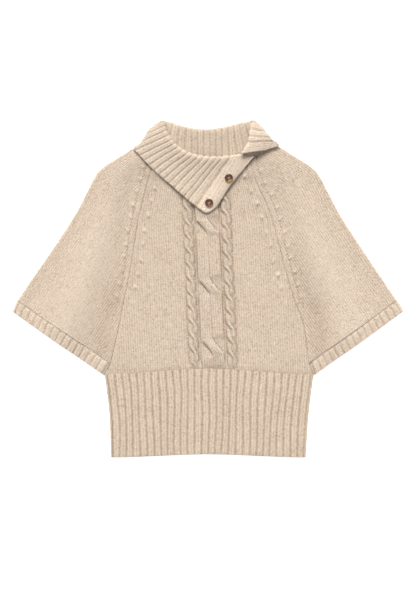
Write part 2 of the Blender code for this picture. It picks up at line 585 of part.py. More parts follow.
def cuff(name, table, corners, side, yarn):
    phase = np.concatenate([[k, k + 0.27, k + 0.73] for k in range(CUFF_RIBS)] + [[CUFF_RIBS]])
    across = phase / CUFF_RIBS
    levels = (SEAM / CUFF_DEPTH, 0.5, 1.0)
    ring = np.array([cuff_ring(table, corners, side, d, across, 6, 3) for d in levels])
    rise = np.zeros(ring.shape[1])
    rise[: len(phase)] = RIB_RISE * rib_profile(phase)
    normal = grid_normals(ring, closed=True)
    normal = normal * np.sign(normal[0, len(phase) // 2, 2])
    outer = ring + normal * (RIB_WALL / 2 + rise)[None, :, None]
    plain = np.array(
        [cuff_ring(table, corners, side, d, np.linspace(0.0, 1.0, 12), 5, 2) for d in levels]
    )
    inward = grid_normals(plain, closed=True)
    inward = inward * -np.sign(inward[0, 6, 2])
    inner = plain + inward * RIB_WALL / 2
    outer[:, len(phase) + 3: len(phase) + 9, 2] = 0.0
    outer[..., 2] = np.maximum(outer[..., 2], 0.0)
    return wall(name, ring, outer, inner, yarn, closed=True)


def unit(v):
    return v / np.maximum(np.linalg.norm(v, axis=-1, keepdims=True), 1e-9)


def collar_controls(places):
    """The nine control points of the collar's sections at places counted in ribs."""
    table = np.array(COLLAR, float)
    values = hermite(table[:, 0], table, places)
    c = dict(zip(COLLAR_COLUMNS, values.T))
    neck = np.column_stack([c["neck_x"], c["neck_y"], c["neck_z"]])
    fold = np.column_stack([c["fold_x"], c["fold_y"], c["fold_z"]])
    flap = np.column_stack([c["flap_x"], c["flap_y"], c["flap_z"]])
    free = np.column_stack([c["free_x"], c["free_y"], c["free_z"]])
    flat = np.array([1.0, 1.0, 0.0])
    ahead = -unit(unit((neck - fold) * flat) + unit((flap - fold) * flat))
    aside = np.column_stack([ahead[:, 1], -ahead[:, 0], ahead[:, 2] * 0.0])
    middle = np.array([0.0, 262.0, 0.0])
    outward = np.sign(np.sum(aside * (fold - middle) * flat, axis=1, keepdims=True))
    aside = aside * outward
    roll = np.radians(c["roll"])[:, None]
    radius = c["radius"][:, None]
    apart = radius * (aside * np.cos(roll) + np.array([0.0, 0.0, 1.0]) * np.sin(roll))
    rim = fold - ahead * COLLAR_WALL / 2
    stand_top = rim - ahead * radius * 1.15 - apart
    flap_top = rim - ahead * radius * 1.15 + apart
    stand = (neck + stand_top) / 2
    stand[:, 2] = c["stand_z"]
    half = (flap_top + flap) / 2
    half[:, 2] = c["half_z"]
    lower = (flap + free) / 2
    lower[:, 2] = free[:, 2] + 0.4 * (flap[:, 2] - free[:, 2])
    return np.stack([neck, stand, stand_top, rim, flap_top, half, flap, lower, free])


SECTION_KNOTS = (0.0, 0.22, 0.42, 0.47, 0.52, 0.66, 0.80, 0.90, 1.0)


def collar_mid(places, levels):
    """Mid surface of the strip: rows by level from the neck edge, 0, to the free edge, 1."""
    controls = collar_controls(places)
    return hermite(SECTION_KNOTS, controls, levels)


def collar(yarn):
    levels = np.array([0.0, 0.2, 0.36, 0.42, 0.445, 0.47, 0.495, 0.52, 0.60, 0.72, 0.86, 1.0])
    ribs = int(END_RIBS) - int(BAND_RIBS)
    phase = [0.0, 0.6, 1.2, 1.8, 2.4]
    for k in range(ribs):
        phase += [BAND_RIBS + k, BAND_RIBS + k + 0.28, BAND_RIBS + k + 0.72]
    phase += [38.0, 38.5, 39.0, STRIP_RIBS]
    phase = np.array(phase)
    mid = collar_mid(phase, levels)
    normal = grid_normals(mid)
    ribbed = (phase >= BAND_RIBS) & (phase <= 38.0)
    rise = np.where(ribbed, COLLAR_RISE * rib_profile(phase), BAND_RISE)
    stand_seen = smooth((phase - 19.5) / 1.5) * (1.0 - smooth((phase - 33.0) / 1.5))
    flap_hidden = smooth((phase - 17.6) / 1.8) * (1.0 - smooth((phase - 33.6) / 1.6))
    stand_part = 1.0 - smooth((levels[:, None] - 0.40) / 0.08)
    share = stand_part * stand_seen[None] + (1.0 - stand_part) * (1.0 - flap_hidden[None])
    outer = mid + normal * (COLLAR_WALL / 2 + rise[None] * share)[..., None]
    plain_at = np.concatenate([
        np.arange(0.0, 15.1, 1.5), np.arange(16.0, 21.1, 0.5), np.arange(22.0, 32.1, 2.0),
        np.arange(32.5, 39.5, 0.5), [STRIP_RIBS],
    ])
    plain_levels = np.array([0.0, 0.2, 0.36, 0.42, 0.47, 0.52, 0.62, 0.80, 1.0])
    plain = collar_mid(plain_at, plain_levels)
    inner = plain - grid_normals(plain) * COLLAR_WALL / 2
    outer[..., 2] = np.maximum(outer[..., 2], 0.0)
    return wall("collar", mid, outer, inner, yarn)


def band_point(x, y):
    """A point of the collar's flap face over x, y, and the face's normal there."""
    places = np.linspace(0.0, 4.0, 81)
    levels = np.linspace(0.56, 1.0, 121)
    mid = collar_mid(places, levels)
    normal = grid_normals(mid)
    face = mid + normal * (COLLAR_WALL / 2 + BAND_RISE)
    away = (face[..., 0] - x) ** 2 + (face[..., 1] - y) ** 2
    k = np.unravel_index(np.argmin(away), away.shape)
    return face[k], normal[k]


def button(name, x, y, z, lean, horn):
    """A turned button with a dished face and four holes, its back on the cloth."""
    if lean:
        up = Vector(lean).normalized()
        at = Vector((x, y, z))
    else:
        point, normal = band_point(x, y)
        up = Vector(normal)
        at = Vector(point) + up * BUTTON_GAP
    r, t = BUTTON_RADIUS, BUTTON_THICK
    profile = (
        (0.0, 0.6 * t), (0.62 * r, 0.6 * t), (0.80 * r, t), (0.93 * r, t),
        (r, 0.7 * t), (r, 0.35 * t), (0.85 * r, 0.0), (0.0, 0.0),
    )
    mesh = bpy.data.meshes.new(name)
    points = [(px * MM, 0.0, pz * MM) for px, pz in profile]
    mesh.from_pydata(points, [(i, i + 1) for i in range(len(points) - 1)], [])
    piece = bpy.data.objects.new(name, mesh)
    bpy.data.collections[COLLECTION].objects.link(piece)
    turned = piece.modifiers.new("Turn", "SCREW")
    turned.axis = "Z"
    turned.steps = 20
    turned.render_steps = 20
    turned.use_merge_vertices = True
    turned.merge_threshold = 0.00001
    bpy.ops.mesh.primitive_cylinder_add(vertices=6, radius=BUTTON_HOLE * MM, depth=4 * t * MM)
    cutter = bpy.context.active_object
    cutter.name = name + "_holes"
    cut = bmesh.new()
    for sx, sy in ((1, 1), (-1, 1), (-1, -1), (1, -1)):
        start = len(cut.verts)
        cut.from_mesh(cutter.data)
        cut.verts.ensure_lookup_table()
        hole = Vector((sx, sy, 0.0)).normalized() * BUTTON_HOLE_AT * MM
        bmesh.ops.translate(cut, vec=hole, verts=cut.verts[start:])
    cut.to_mesh(cutter.data)
    cut.free()
    cutter.hide_render = True
    cutter.display_type = "WIRE"
    for owner in list(cutter.users_collection):
        owner.objects.unlink(cutter)
    bpy.data.collections["cutters"].objects.link(cutter)
    holes = piece.modifiers.new("Holes", "BOOLEAN")
    holes.operation = "DIFFERENCE"
    holes.solver = "EXACT"
    holes.object = cutter
    for thing in (piece, cutter):
        thing.location = at * MM
        thing.rotation_euler = up.to_track_quat("Z", "Y").to_euler()
    mesh.materials.append(horn)
    return piece


def main():
    for old in list(bpy.data.objects):
        bpy.data.objects.remove(old)
    for name in (COLLECTION, "cutters"):
        bpy.context.scene.collection.children.link(bpy.data.collections.new(name))
    yarn = material("oatmeal_yarn", YARN, 0.95)
    horn = material("tortoise_horn", TORTOISE, 0.25)
    front_panel(yarn)
    back_panel(yarn)
    sleeve("sleeve_right", SLEEVE_RIGHT, -1, yarn)
    sleeve("sleeve_left", SLEEVE_LEFT, 1, yarn)
    cuff("cuff_right", SLEEVE_RIGHT, CUFF_RIGHT, -1, yarn)
    cuff("cuff_left", SLEEVE_LEFT, CUFF_LEFT, 1, yarn)
    waistband(yarn)
    collar(yarn)
    for name, x, y, z, lean in BUTTONS:
        button(name, x, y, z, lean, horn)


main()
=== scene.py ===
"""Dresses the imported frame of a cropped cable-knit sweater, laid flat on its back.

Every knitted piece is a fine closed shell on the form of its solid, with its ribs, cables, seam
columns and fashioning marks in the mesh and its single stitches in the material. Lengths in the
tables are millimetres; meshes are made in metres. +X is the viewer's right, +Y runs from the hem
to the neck, +Z is up.
"""

import math

import bmesh
import bpy
import numpy as np
from bpy.props import FloatProperty, FloatVectorProperty, IntProperty, PointerProperty
from mathutils import Matrix, Vector


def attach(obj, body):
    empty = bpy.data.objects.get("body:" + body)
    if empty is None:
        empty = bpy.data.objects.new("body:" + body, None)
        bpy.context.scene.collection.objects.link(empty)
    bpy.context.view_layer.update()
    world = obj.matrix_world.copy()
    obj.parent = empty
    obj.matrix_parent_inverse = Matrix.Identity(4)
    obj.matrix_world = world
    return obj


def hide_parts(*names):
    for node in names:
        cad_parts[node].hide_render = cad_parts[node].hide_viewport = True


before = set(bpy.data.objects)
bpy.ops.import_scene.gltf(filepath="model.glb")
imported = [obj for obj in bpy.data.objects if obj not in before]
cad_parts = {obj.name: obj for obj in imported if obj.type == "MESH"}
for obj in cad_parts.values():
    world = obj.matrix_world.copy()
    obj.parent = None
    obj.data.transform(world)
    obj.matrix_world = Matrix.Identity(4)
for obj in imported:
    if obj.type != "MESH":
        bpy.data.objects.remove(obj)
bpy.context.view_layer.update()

bl_info = {
    "name": "Cropped Cable Sweater",
    "version": (1, 0, 0),
    "blender": (4, 5, 0),
    "location": "View3D > Sidebar > Sweater",
    "description": "Dresses the frame of a cropped cable-knit sweater laid flat",
    "category": "Object",
}

MM = 0.001
UP = np.array([0.0, 0.0, 1.0])
WHITE = (1.0, 1.0, 1.0, 1.0)
TURN = 2.0 * math.pi

# Walls, as in the solids
CLOTH = 2.8
RIB_WALL = 2.4
COLLAR_WALL = 2.0
LAYER_GAP = 0.5
SEAM = 0.16

# Waistband and cuffs
CUFF_DEPTH = 24.0
CUFF_CLEAR = 1.2
FOLD_ROUND = 1.15

# Cable panel: its middle line, the centre rope and the two small ropes
PANEL_X, PANEL_Y, PANEL_LEAN = 1.4, 57.0, -0.044
ROPE_HALF, ROPE_CROSSING_Y = 21.0, 4.0
SIDE_ROPE_AT, SIDE_HALF, SIDE_CROSSING_Y = 34.3, 8.0, 9.0
# Each rope's half width, its run from crossing to crossing and the length of a crossing
ROPE, SIDE_ROPE = (ROPE_HALF, 108.0, 40.0), (SIDE_HALF, 25.5, 17.0)
PANEL_FADE_Y, PANEL_FADE = 165.0, 12.0
FAN, FAN_Y, FAN_RUN = 0.20, 110.0, 110.0

# Narrowing marks beside the raglans: how far up from the waist they begin
MARKS_FROM, MARKS_FADE = 95.0, 60.0

# Smooth column beside the raglans, and their marks' distance, spacing, size and slant
FRONT_COLUMN, SLEEVE_COLUMN = 8.5, 10.0
FRONT_MARKS, SLEEVE_MARKS = (15.5, 26.5, 1.0, 0.45), (15.0, 24.0, 0.9, -0.75)
RAGLAN_POINTS = 81

# Ribbing: width and strength of the painted shade in the grooves, painted light that makes the ribs
# paler, how far they stray, and the height of the plain edge at the seam
WAIST_RIBBING = (0.090, 1.15, 0.05, 1.0, 1.5)
CUFF_RIBBING = (0.085, 1.0, 0.20, 0.45, 0.8)

# The back of the collar lies under the back of the neck and lifts it
LIFT, LIFT_Y, LIFT_RUN, LIFT_X, LIFT_SIDE = 2.6, 190.0, 22.0, 135.0, 24.0

# Sleeve rows from the neck to the cuff
SLEEVE_COLUMNS = "raglan_x raglan_y over_x over_y valley_at valley ridge_at ridge edge".split()
SLEEVE_RIGHT = (
    (-98, 223, -106, 243, 0.25, 8.3, 0.60, 8.8, 8.4),
    (-103, 210, -138, 251.2, 0.25, 7, 0.60, 7.8, 5.3),
    (-104.6, 204.6, -147.5, 244.9, 0.24, 6.7, 0.60, 8.1, 5.45),
    (-108.5, 192, -169, 231.8, 0.22, 6, 0.60, 8.8, 5.8),
    (-117, 159, -198, 210.2, 0.20, 5.3, 0.58, 9.6, 5.8),
    (-124.4, 129.2, -216, 177.8, 0.20, 5.2, 0.56, 11, 5.8),
    (-132.5, 80, -238, 136, 0.20, 5.1, 0.55, 13, 6),
    (-141, 27, -264, 95, 0.20, 5, 0.54, 15, 6.4),
    (-153.2, -31.8, -292, 53.5, 0.20, 4.9, 0.52, 17, 6.8),
    (-164, -86, -318, 16.5, 0.20, 4.9, 0.50, 18.4, 7),
    (-175, -134.6, -343, -21.5, 0.20, 5, 0.50, 18.8, 7.2),
)
SLEEVE_LEFT = (
    (76.5, 232, 102, 245.4, 0.25, 8.3, 0.60, 8.8, 8.4),
    (78, 221.5, 122, 257, 0.25, 7.6, 0.60, 8, 5.2),
    (81.5, 206, 136, 251.2, 0.25, 7, 0.60, 8.2, 5.6),
    (85.6, 195.4, 147.6, 243.3, 0.24, 6.6, 0.59, 8.5, 5.7),
    (91, 181.5, 165, 233, 0.22, 6, 0.58, 8.8, 5.8),
    (104, 155, 195, 210.8, 0.18, 5.3, 0.55, 9.6, 5.8),
    (115, 126, 213, 180, 0.16, 5.2, 0.52, 11, 5.8),
    (129, 72, 238, 133, 0.15, 5.1, 0.48, 13, 6),
    (142.2, 22.9, 264, 92.5, 0.14, 5, 0.45, 15, 6.4),
    (156, -23, 290, 53, 0.14, 4.9, 0.43, 16.8, 6.8),
    (172, -65, 315, 16, 0.14, 4.9, 0.42, 18, 7),
    (181.5, -134.6, 340, -21, 0.14, 5, 0.42, 18.4, 7.2),
)
BACK_TOP_RIGHT, BACK_TOP_LEFT, BACK_TOP_RUN = (-95.0, 235.5), (86.0, 236.5), 0.10
CUFF_RIGHT = ((-186.5, -155.0), (-350.75, -41.5))
CUFF_LEFT = ((189.0, -155.5), (350.8, -40.5))
WAIST_CORNER_RIGHT, WAIST_CORNER_LEFT = (-184.0, -153.6), (188.0, -153.6)

FRONT_NECK = (
    (-98, 223), (-86, 211), (-67.5, 198.5), (-44, 187.5), (-15, 180.5),
    (17, 180.5), (35, 189.5), (52.5, 204), (67, 220), (76.5, 232),
)
BACK_NECK = ((-95.0, 235.5), (-50.0, 231.0), (0.0, 229.5), (45.0, 231.0), (86.0, 236.5))

WAIST_TOP_LEFT, WAIST_TOP_RIGHT, WAIST_TOP_Y, WAIST_TOP_ARCH = -184.5, 188.5, -153.5, 10.0
WAIST_MID_LEFT, WAIST_MID_RIGHT = -176.5, 180.0
WAIST_HEM_LEFT, WAIST_HEM_RIGHT, WAIST_HEM_Y, WAIST_HEM_ARCH = -173.5, 174.5, -302.95, 5.5

# Collar sections from the buttoned end at the front, round the right shoulder and the back
COLLAR_COLUMNS = (
    "ribs neck_x neck_y neck_z stand_z fold_x fold_y fold_z roll radius "
    "half_z flap_x flap_y flap_z free_x free_y free_z"
).split()
COLLAR = (
    (0, 77, 236.4, 8.8, 9.8, 84, 236.2, 12.8, 90, 1.5, 13.6, 43, 189.5, 12.6, 16.6, 150.4, 12.8),
    (1.1, 66.5, 226, 8.2, 9.2, 70.2, 241.4, 11.4, 90, 1.5, 13.2, 36, 184, 12.8, 12, 144, 13),
    (2.1, 57.5, 213.5, 7.7, 9.6, 54.5, 240.8, 11.8, 90, 1.6, 13.6, 19, 178, 13, -4.5, 136, 13.2),
    (3, 46, 201.5, 7.2, 10.2, 38, 238.4, 14, 90, 2, 14.6, 1.2, 184, 13, -23.4, 149, 12.8),
    (5.4, 18.5, 184.5, 6.4, 10.2, 10.8, 236.4, 16, 90, 2.1, 15.6, -23.2, 194.7, 13.2, -45.9, 167.9, 11.8),
    (7.7, -14, 182, 6.4, 10.2, -14.4, 238.3, 15.6, 90, 2.1, 15.2, -46.1, 207.3, 12.6, -67.3, 186.5, 9.9),
    (10, -42, 189.5, 6.8, 10.2, -37, 245, 14.6, 90, 2.1, 14.6, -67.6, 220.8, 12.2, -88.2, 204.6, 10.7),
    (12, -65, 200, 7.4, 10.2, -54, 255.5, 13.8, 90, 2.1, 14.2, -85.2, 235, 12.4, -106, 221.2, 11.5),
    (14, -83.5, 213, 8, 10.2, -65.5, 268, 12.8, 88, 2, 13.4, -99.4, 250.6, 12, -122.4, 239, 10.8),
    (15.6, -93, 225.5, 8.6, 9.8, -73.8, 281.5, 11.4, 80, 2, 12.2, -109.5, 264, 10.4, -133.2, 252.5, 8.2),
    (17, -98.5, 234.8, 8.2, 8.9, -77, 292.5, 9.4, 50, 2, 10.4, -111.5, 275.2, 6.2, -118, 256, 1.1),
    (18.4, -104, 246.2, 6.2, 6.7, -80.5, 301.7, 6.4, 0, 2, 5.4, -95.4, 291.6, 3.2, -104, 258, 1),
    (19.3, -98.5, 241, 4.3, 4.9, -77, 301.8, 4.4, -55, 2, 1.9, -82, 286, 1.1, -93, 236, 1),
    (20.3, -89, 237, 4, 4.7, -69.5, 300.6, 3.1, -88, 2, 1, -75, 266, 1, -82, 218, 1),
    (22.5, -50, 233, 4, 4.6, -45.5, 293.4, 3.05, -90, 2.05, 1, -46, 258, 1, -48, 215, 1),
    (26.2, -5, 231.5, 4, 4.6, -5.4, 287.6, 3.05, -90, 2.05, 1, -5, 255, 1, -5, 214, 1),
    (30, 38, 232.5, 4, 4.6, 35.3, 293, 3.05, -90, 2.05, 1, 36, 258, 1, 38, 215, 1),
    (32.7, 80, 238, 4, 4.7, 62, 300, 3.1, -88, 2, 1, 66, 266, 1, 74, 218, 1),
    (33.7, 94, 243, 4.2, 5, 73, 301.8, 4.4, -55, 2, 1.9, 77, 286, 1.1, 86, 236, 1),
    (34.7, 101.5, 247.4, 6.2, 7, 79.8, 301.8, 6.8, 0, 2, 5.8, 93.6, 290.4, 3.6, 101, 260, 1),
    (35.8, 98.5, 245.2, 8.4, 9.6, 77, 289.5, 11.2, 50, 2, 12.6, 101.8, 281.6, 8.2, 106, 262, 1.1),
    (36.9, 94.4, 242.8, 9.2, 12.8, 74.4, 275, 15.2, 80, 2, 16.2, 111.2, 270.6, 10.6, 114.5, 262, 2.6),
    (38.2, 89, 240.4, 9.8, 17.6, 71.3, 261.3, 19.2, 88, 1.7, 19.6, 111, 263, 14.4, 122, 263.8, 9),
    (39.6, 83.5, 237.6, 10.4, 19.6, 58.7, 241.2, 21.6, 90, 1.5, 22, 100, 247.6, 16.8, 129, 256.8, 10.8),
)
BAND_RIBS, RIBS_END, STRIP_RIBS = 3.0, 38.0, 39.6
SECTION_KNOTS = (0.0, 0.22, 0.42, 0.47, 0.52, 0.66, 0.80, 0.90, 1.0)
BAND_RISE = 0.7

BUTTONS = (
    ("button_upper", 37.8, 198.3, None, None),
    ("button_lower", 1.8, 153.4, None, None),
    ("button_inner", 68.0, 246.0, 13.9, (0.10, 0.22, 1.0)),
)
BUTTON_GAP = 0.15

# Sizes of a button's four holes and thread, in metres
HOLE_AT, HOLE_RADIUS, THREAD_RADIUS = 0.00175, 0.00078, 0.00030


# ---------------------------------------------------------------- settings


def length(name, description, default, low, high):
    return FloatProperty(
        name=name, description=description, default=default, min=low, max=high, unit="LENGTH"
    )


def colour(name, description, default):
    return FloatVectorProperty(
        name=name, description=description, default=default,
        size=3, min=0.0, max=1.0, subtype="COLOR",
    )


class KnitSettings(bpy.types.PropertyGroup):
    wale: length("Wale width", "Width of one column of stitches", 0.0042, 0.002, 0.01)
    course: length("Course height", "Height of one row of stitches", 0.0031, 0.0015, 0.01)
    stitch_depth: length("Stitch depth", "Relief of the single stitches", 0.0014, 0.0, 0.003)
    yarn: colour("Yarn", "Main colour of the yarn", (0.690, 0.560, 0.440))
    # The shade colour is the heather's darker fibres and also the painted shade in grooves and hollows
    shade: colour(
        "Shade", "Darker fibres of the heather, and the bottoms of grooves", (0.330, 0.235, 0.160)
    )
    fleck: colour("Fleck", "Pale fibres of the heather", (0.860, 0.770, 0.650))


class ReliefSettings(bpy.types.PropertyGroup):
    waist_ribs: IntProperty(
        name="Waist ribs", description="Ribs across the front of the waistband",
        default=28, min=8, max=60,
    )
    cuff_ribs: IntProperty(
        name="Cuff ribs", description="Ribs across the front of a cuff",
        default=15, min=4, max=40,
    )
    rib_rise: length("Rib rise", "Height of a rib over its groove", 0.0021, 0.0, 0.004)
    collar_rise: length(
        "Collar rib rise", "Height of a collar rib over its groove", 0.0019, 0.0, 0.004
    )
    rope_rise: length(
        "Rope rise", "Height of the centre cable over the plain knit", 0.0046, 0.0, 0.008
    )
    side_rise: length(
        "Side cable rise", "Height of the small cables over the plain knit", 0.0036, 0.0, 0.006
    )
    gutter: length(
        "Gutter depth", "Depth of the purl gutters beside the cables", 0.0011, 0.0, 0.003
    )


class ButtonSettings(bpy.types.PropertyGroup):
    radius: length("Radius", "Radius of a button", 0.0075, 0.003, 0.02)
    thick: length("Thickness", "Thickness of a button's rim", 0.0026, 0.001, 0.006)
    dark: colour("Dark", "Dark part of the tortoiseshell", (0.070, 0.032, 0.018))
    amber: colour("Amber", "Clear part of the tortoiseshell", (0.420, 0.190, 0.050))
    thread: colour("Thread", "Colour of the sewing thread", (0.620, 0.500, 0.360))


class StageSettings(bpy.types.PropertyGroup):
    view_height: length(
        "View height", "Height of the floor that the picture shows", 1.0854, 0.2, 4.0
    )
    view_y: length(
        "View centre", "Where the middle of the picture lies along Y", -0.02295, -1.0, 1.0
    )
    camera_up: length("Camera height", "Height of the camera over the floor", 4.0, 1.0, 10.0)
    floor: colour("Floor", "Colour of the floor", (0.93, 0.93, 0.93))
    key_power: FloatProperty(
        name="Key light", description="Strength of the soft light from beyond the neck",
        default=4.6, min=0.0, max=50.0,
    )
    fill: FloatProperty(
        name="Fill", description="Strength of the light from all round",
        default=0.60, min=0.0, max=5.0,
    )
    glow: FloatProperty(
        name="Floor glow", description="Light that comes up through the pale floor",
        default=0.62, min=0.0, max=2.0,
    )


# ---------------------------------------------------------------- curves and heights


def evenly(count):
    return np.linspace(0.0, 1.0, count)


def smooth(t):
    t = np.clip(t, 0.0, 1.0)
    return t * t * (3.0 - 2.0 * t)


def unit(v):
    return v / np.maximum(np.linalg.norm(v, axis=-1, keepdims=True), 1e-9)


def hermite(knots, values, at):
    """A smooth curve through the values at their knots."""
    knots = np.asarray(knots, float)
    values = np.asarray(values, float)
    at = np.asarray(at, float)
    steps = np.diff(knots)
    slopes = np.diff(values, axis=0) / steps.reshape(-1, *[1] * (values.ndim - 1))
    tangents = np.empty_like(values)
    tangents[0] = slopes[0]
    tangents[-1] = slopes[-1]
    for k in range(1, len(knots) - 1):
        before, after = steps[k - 1], steps[k]
        tangents[k] = (slopes[k - 1] * after + slopes[k] * before) / (before + after)
    k = np.clip(np.searchsorted(knots, at, side="right") - 1, 0, len(steps) - 1)
    shape = (-1,) + (1,) * (values.ndim - 1)
    step = steps[k].reshape(shape)
    t = ((at - knots[k]) / steps[k]).reshape(shape)
    return (
        (2 * t**3 - 3 * t**2 + 1) * values[k]
        + (t**3 - 2 * t**2 + t) * step * tangents[k]
        + (3 * t**2 - 2 * t**3) * values[k + 1]
        + (t**3 - t**2) * step * tangents[k + 1]
    )


def chords(points):
    lengths = np.linalg.norm(np.diff(np.asarray(points, float), axis=0), axis=1)
    return np.concatenate([[0.0], np.cumsum(lengths)]) / lengths.sum()


def run_length(points):
    """Distance along a line of points, from its start."""
    lengths = np.linalg.norm(np.diff(points, axis=0), axis=1)
    return np.concatenate([[0.0], np.cumsum(lengths)])


def curve_at(points, fractions):
    return hermite(chords(points), np.asarray(points, float), np.asarray(fractions, float))


def sleeve_values(table, rows):
    columns = np.array(table, float)
    return hermite(chords(columns[:, 2:4]), columns, rows)


def back_shift(table, rows):
    top = np.array(BACK_TOP_RIGHT if table is SLEEVE_RIGHT else BACK_TOP_LEFT)
    away = top - np.array(table[0][:2])
    return (1.0 - smooth(np.asarray(rows) / BACK_TOP_RUN))[..., None] * away


def raglan_line(table, back=False):
    """Points of a raglan from the waist seam up to the neck."""
    rows = evenly(RAGLAN_POINTS)
    line = sleeve_values(table, rows)[:, :2]
    if back:
        line = line + back_shift(table, rows)
    end = WAIST_CORNER_RIGHT if table is SLEEVE_RIGHT else WAIST_CORNER_LEFT
    return np.vstack([line, end])[::-1]


def lift(x, y):
    return LIFT * smooth((y - LIFT_Y) / LIFT_RUN) * smooth((LIFT_X - np.abs(x)) / LIFT_SIDE)


def puff(x, y):
    side = smooth(np.abs(x) / 185.0)
    low = smooth((60.0 - y) / 160.0)
    hem = smooth((-110.0 - y) / 40.0)
    return 0.9 + 1.5 * side * low * (1.0 - 0.6 * hem)


def front_mid(x, y):
    return CLOTH + LAYER_GAP + CLOTH / 2 + lift(x, y) + puff(x, y)


def ripple(x, y, seed, size):
    """A soft irregular wave between -1 and 1, for hand-laid cloth."""
    total = np.zeros(np.broadcast(x, y).shape)
    for k in range(5):
        turn = 1.3 * seed + 2.399 * k
        long = size * (0.7 + 0.17 * ((k * 7 + seed * 3) % 5))
        total = total + np.sin((x * math.cos(turn) + y * math.sin(turn)) / long + 5.1 * turn)
    return total / 3.2


def from_groove(phase):
    """Distance from the nearest groove, in ribs: the grooves lie at whole numbers."""
    return np.abs(phase - np.round(phase))


def rib_profile(phase):
    """Relief of round ribs: 0 in a groove, 1 on a rib."""
    outward = np.clip((0.5 - from_groove(phase)) / 0.47, 0.0, 1.0)
    return (1.0 - outward ** 3.2) ** 0.62


def groove_shade(phase, width):
    return np.exp(-((from_groove(phase) / width) ** 2))


def rib_stitches(phase):
    """Wale count over ribs of two knit wales and a purl one: the purl wale sits in the groove."""
    return phase * 3.0 + 0.5


def cavity(height, passes, deep):
    """How far each point of a height grid lies below its neighbourhood, 0 to 1."""
    around = height
    for _ in range(passes):
        padded = np.pad(around, 1, mode="edge")
        around = (padded[:-2, 1:-1] + padded[2:, 1:-1] + padded[1:-1, :-2] + padded[1:-1, 2:]) / 4.0
    return np.clip((around - height) / deep, 0.0, 1.0)


# ---------------------------------------------------------------- cables


class Strands:
    """The cable panel at points of the front: height, wale, course, purl and painted shade lines along
    the gutters.
    """

    def __init__(self, x, y, relief, knit):
        self.wale = knit.wale / MM
        self.course = knit.course / MM
        across = x - (PANEL_X + PANEL_LEAN * (y - PANEL_Y))
        fan = 1.0 + FAN * smooth((y - FAN_Y) / FAN_RUN)
        self.u = across * fan / self.wale
        self.v = y / self.course
        away = np.abs(across)
        inner = self.band(away, ROPE_HALF, SIDE_ROPE_AT - SIDE_HALF)
        outer = self.band(away, SIDE_ROPE_AT + SIDE_HALF, SIDE_ROPE_AT + SIDE_HALF + 5.5)
        self.purl = np.maximum(inner, outer)
        # line is painted shade in dotted lines along the gutters beside the ropes
        self.line = np.zeros_like(across)
        edges = (ROPE_HALF + 1.4, SIDE_ROPE_AT - SIDE_HALF - 1.0, SIDE_ROPE_AT + SIDE_HALF + 1.6)
        for edge in edges:
            self.line = np.maximum(self.line, np.exp(-(((away - edge) / 1.7) ** 2)))
        self.line = self.line * (0.50 + 0.50 * np.cos(TURN * (y + 0.7 * away) / 5.8))
        self.height = -relief.gutter / MM * self.purl
        self.rope(across, y, *ROPE, ROPE_CROSSING_Y, relief.rope_rise / MM, 1.0)
        for side in (-1, 1):
            at, crossing = across - side * SIDE_ROPE_AT, SIDE_CROSSING_Y * side
            self.rope(at, y, *SIDE_ROPE, crossing, relief.side_rise / MM, 0.35)
        fade = 1.0 - smooth((y - PANEL_FADE_Y) / PANEL_FADE)
        fade = fade * smooth((y - arch_y(x, *waist_edges(0.0))) / 22.0) ** 0.6
        self.height *= fade
        self.purl *= fade
        self.line *= fade

    @staticmethod
    def band(at, low, high):
        return smooth((at - low + 0.6) / 1.2) * smooth((high + 0.6 - at) / 1.2)

    def rope(self, across, along, half, pitch, swap, crossing, rise, flat):
        """Two strands side by side; every pitch the left one crosses over to the right.

        flat is 1 where the strands lie joined in one plain face between their crossings.
        """
        turn = np.round((crossing - along) / pitch)
        down = (crossing - turn * pitch - along) / swap
        shift = 2.0 * smooth(down + 0.5) - 1.0
        bump = np.clip(1.0 - (2.0 * down) ** 2, 0.0, 1.0)
        sunk = np.clip(1.0 - (2.0 * down + 0.34 * flat * across / half) ** 2, 0.0, 1.0)
        off = half * 0.5
        wide = half * (0.60 - 0.06 * flat - 0.02 * bump)
        over = (across - shift * off) / wide
        under = (across + shift * off) / wide

        def dome(at, boxy):
            return np.clip(1.0 - np.abs(at) ** boxy, 0.0, 1.0) ** 0.6

        top = rise * (0.80 + (0.30 + 0.25 * flat) * bump) * dome(over, 2.4)
        low = rise * (0.80 - (0.46 + 0.20 * flat) * sunk) * dome(under, 2.4)
        joined = 0.80 * rise * dome(across / half, 7.0)
        crossed = np.maximum(top, low)
        share = 1.0 - flat * (1.0 - smooth(sunk * 1.6 - 0.15))
        height = joined + share * (crossed - joined)
        on_over = top >= low
        inside = height > 0.05
        skew = 2.0 * off * 1.5 * bump / swap
        u = np.where(on_over, across - shift * off, across + shift * off) / self.wale
        v = along / self.course + np.where(on_over, 1, -1) * skew * across / self.course
        self.height = np.where(inside, np.maximum(self.height, height), self.height)
        self.u = np.where(inside, u + np.where(on_over, 0.5, 0.25), self.u)
        self.v = np.where(inside, v, self.v)
        self.purl = np.where(inside, 0.0, self.purl)


# ---------------------------------------------------------------- meshes


def grid_normals(grid, closed=False):
    """Unit normals of a grid of points. closed: the columns form a ring."""
    if closed:
        around = np.roll(grid, -1, axis=1) - np.roll(grid, 1, axis=1)
    else:
        around = np.gradient(grid, axis=1)
    along = np.gradient(grid, axis=0)
    return unit(np.cross(around, along))


def zip_edges(first, second, first_at, second_at):
    """Triangles between two chains of vertex numbers, each with its place along the edge."""
    faces = []
    i = j = 0
    while i < len(first) - 1 or j < len(second) - 1:
        step_first = j == len(second) - 1 or (
            i < len(first) - 1 and first_at[i + 1] <= second_at[j + 1]
        )
        if step_first:
            faces.append((first[i], first[i + 1], second[j]))
            i += 1
        else:
            faces.append((first[i], second[j + 1], second[j]))
            j += 1
    return faces


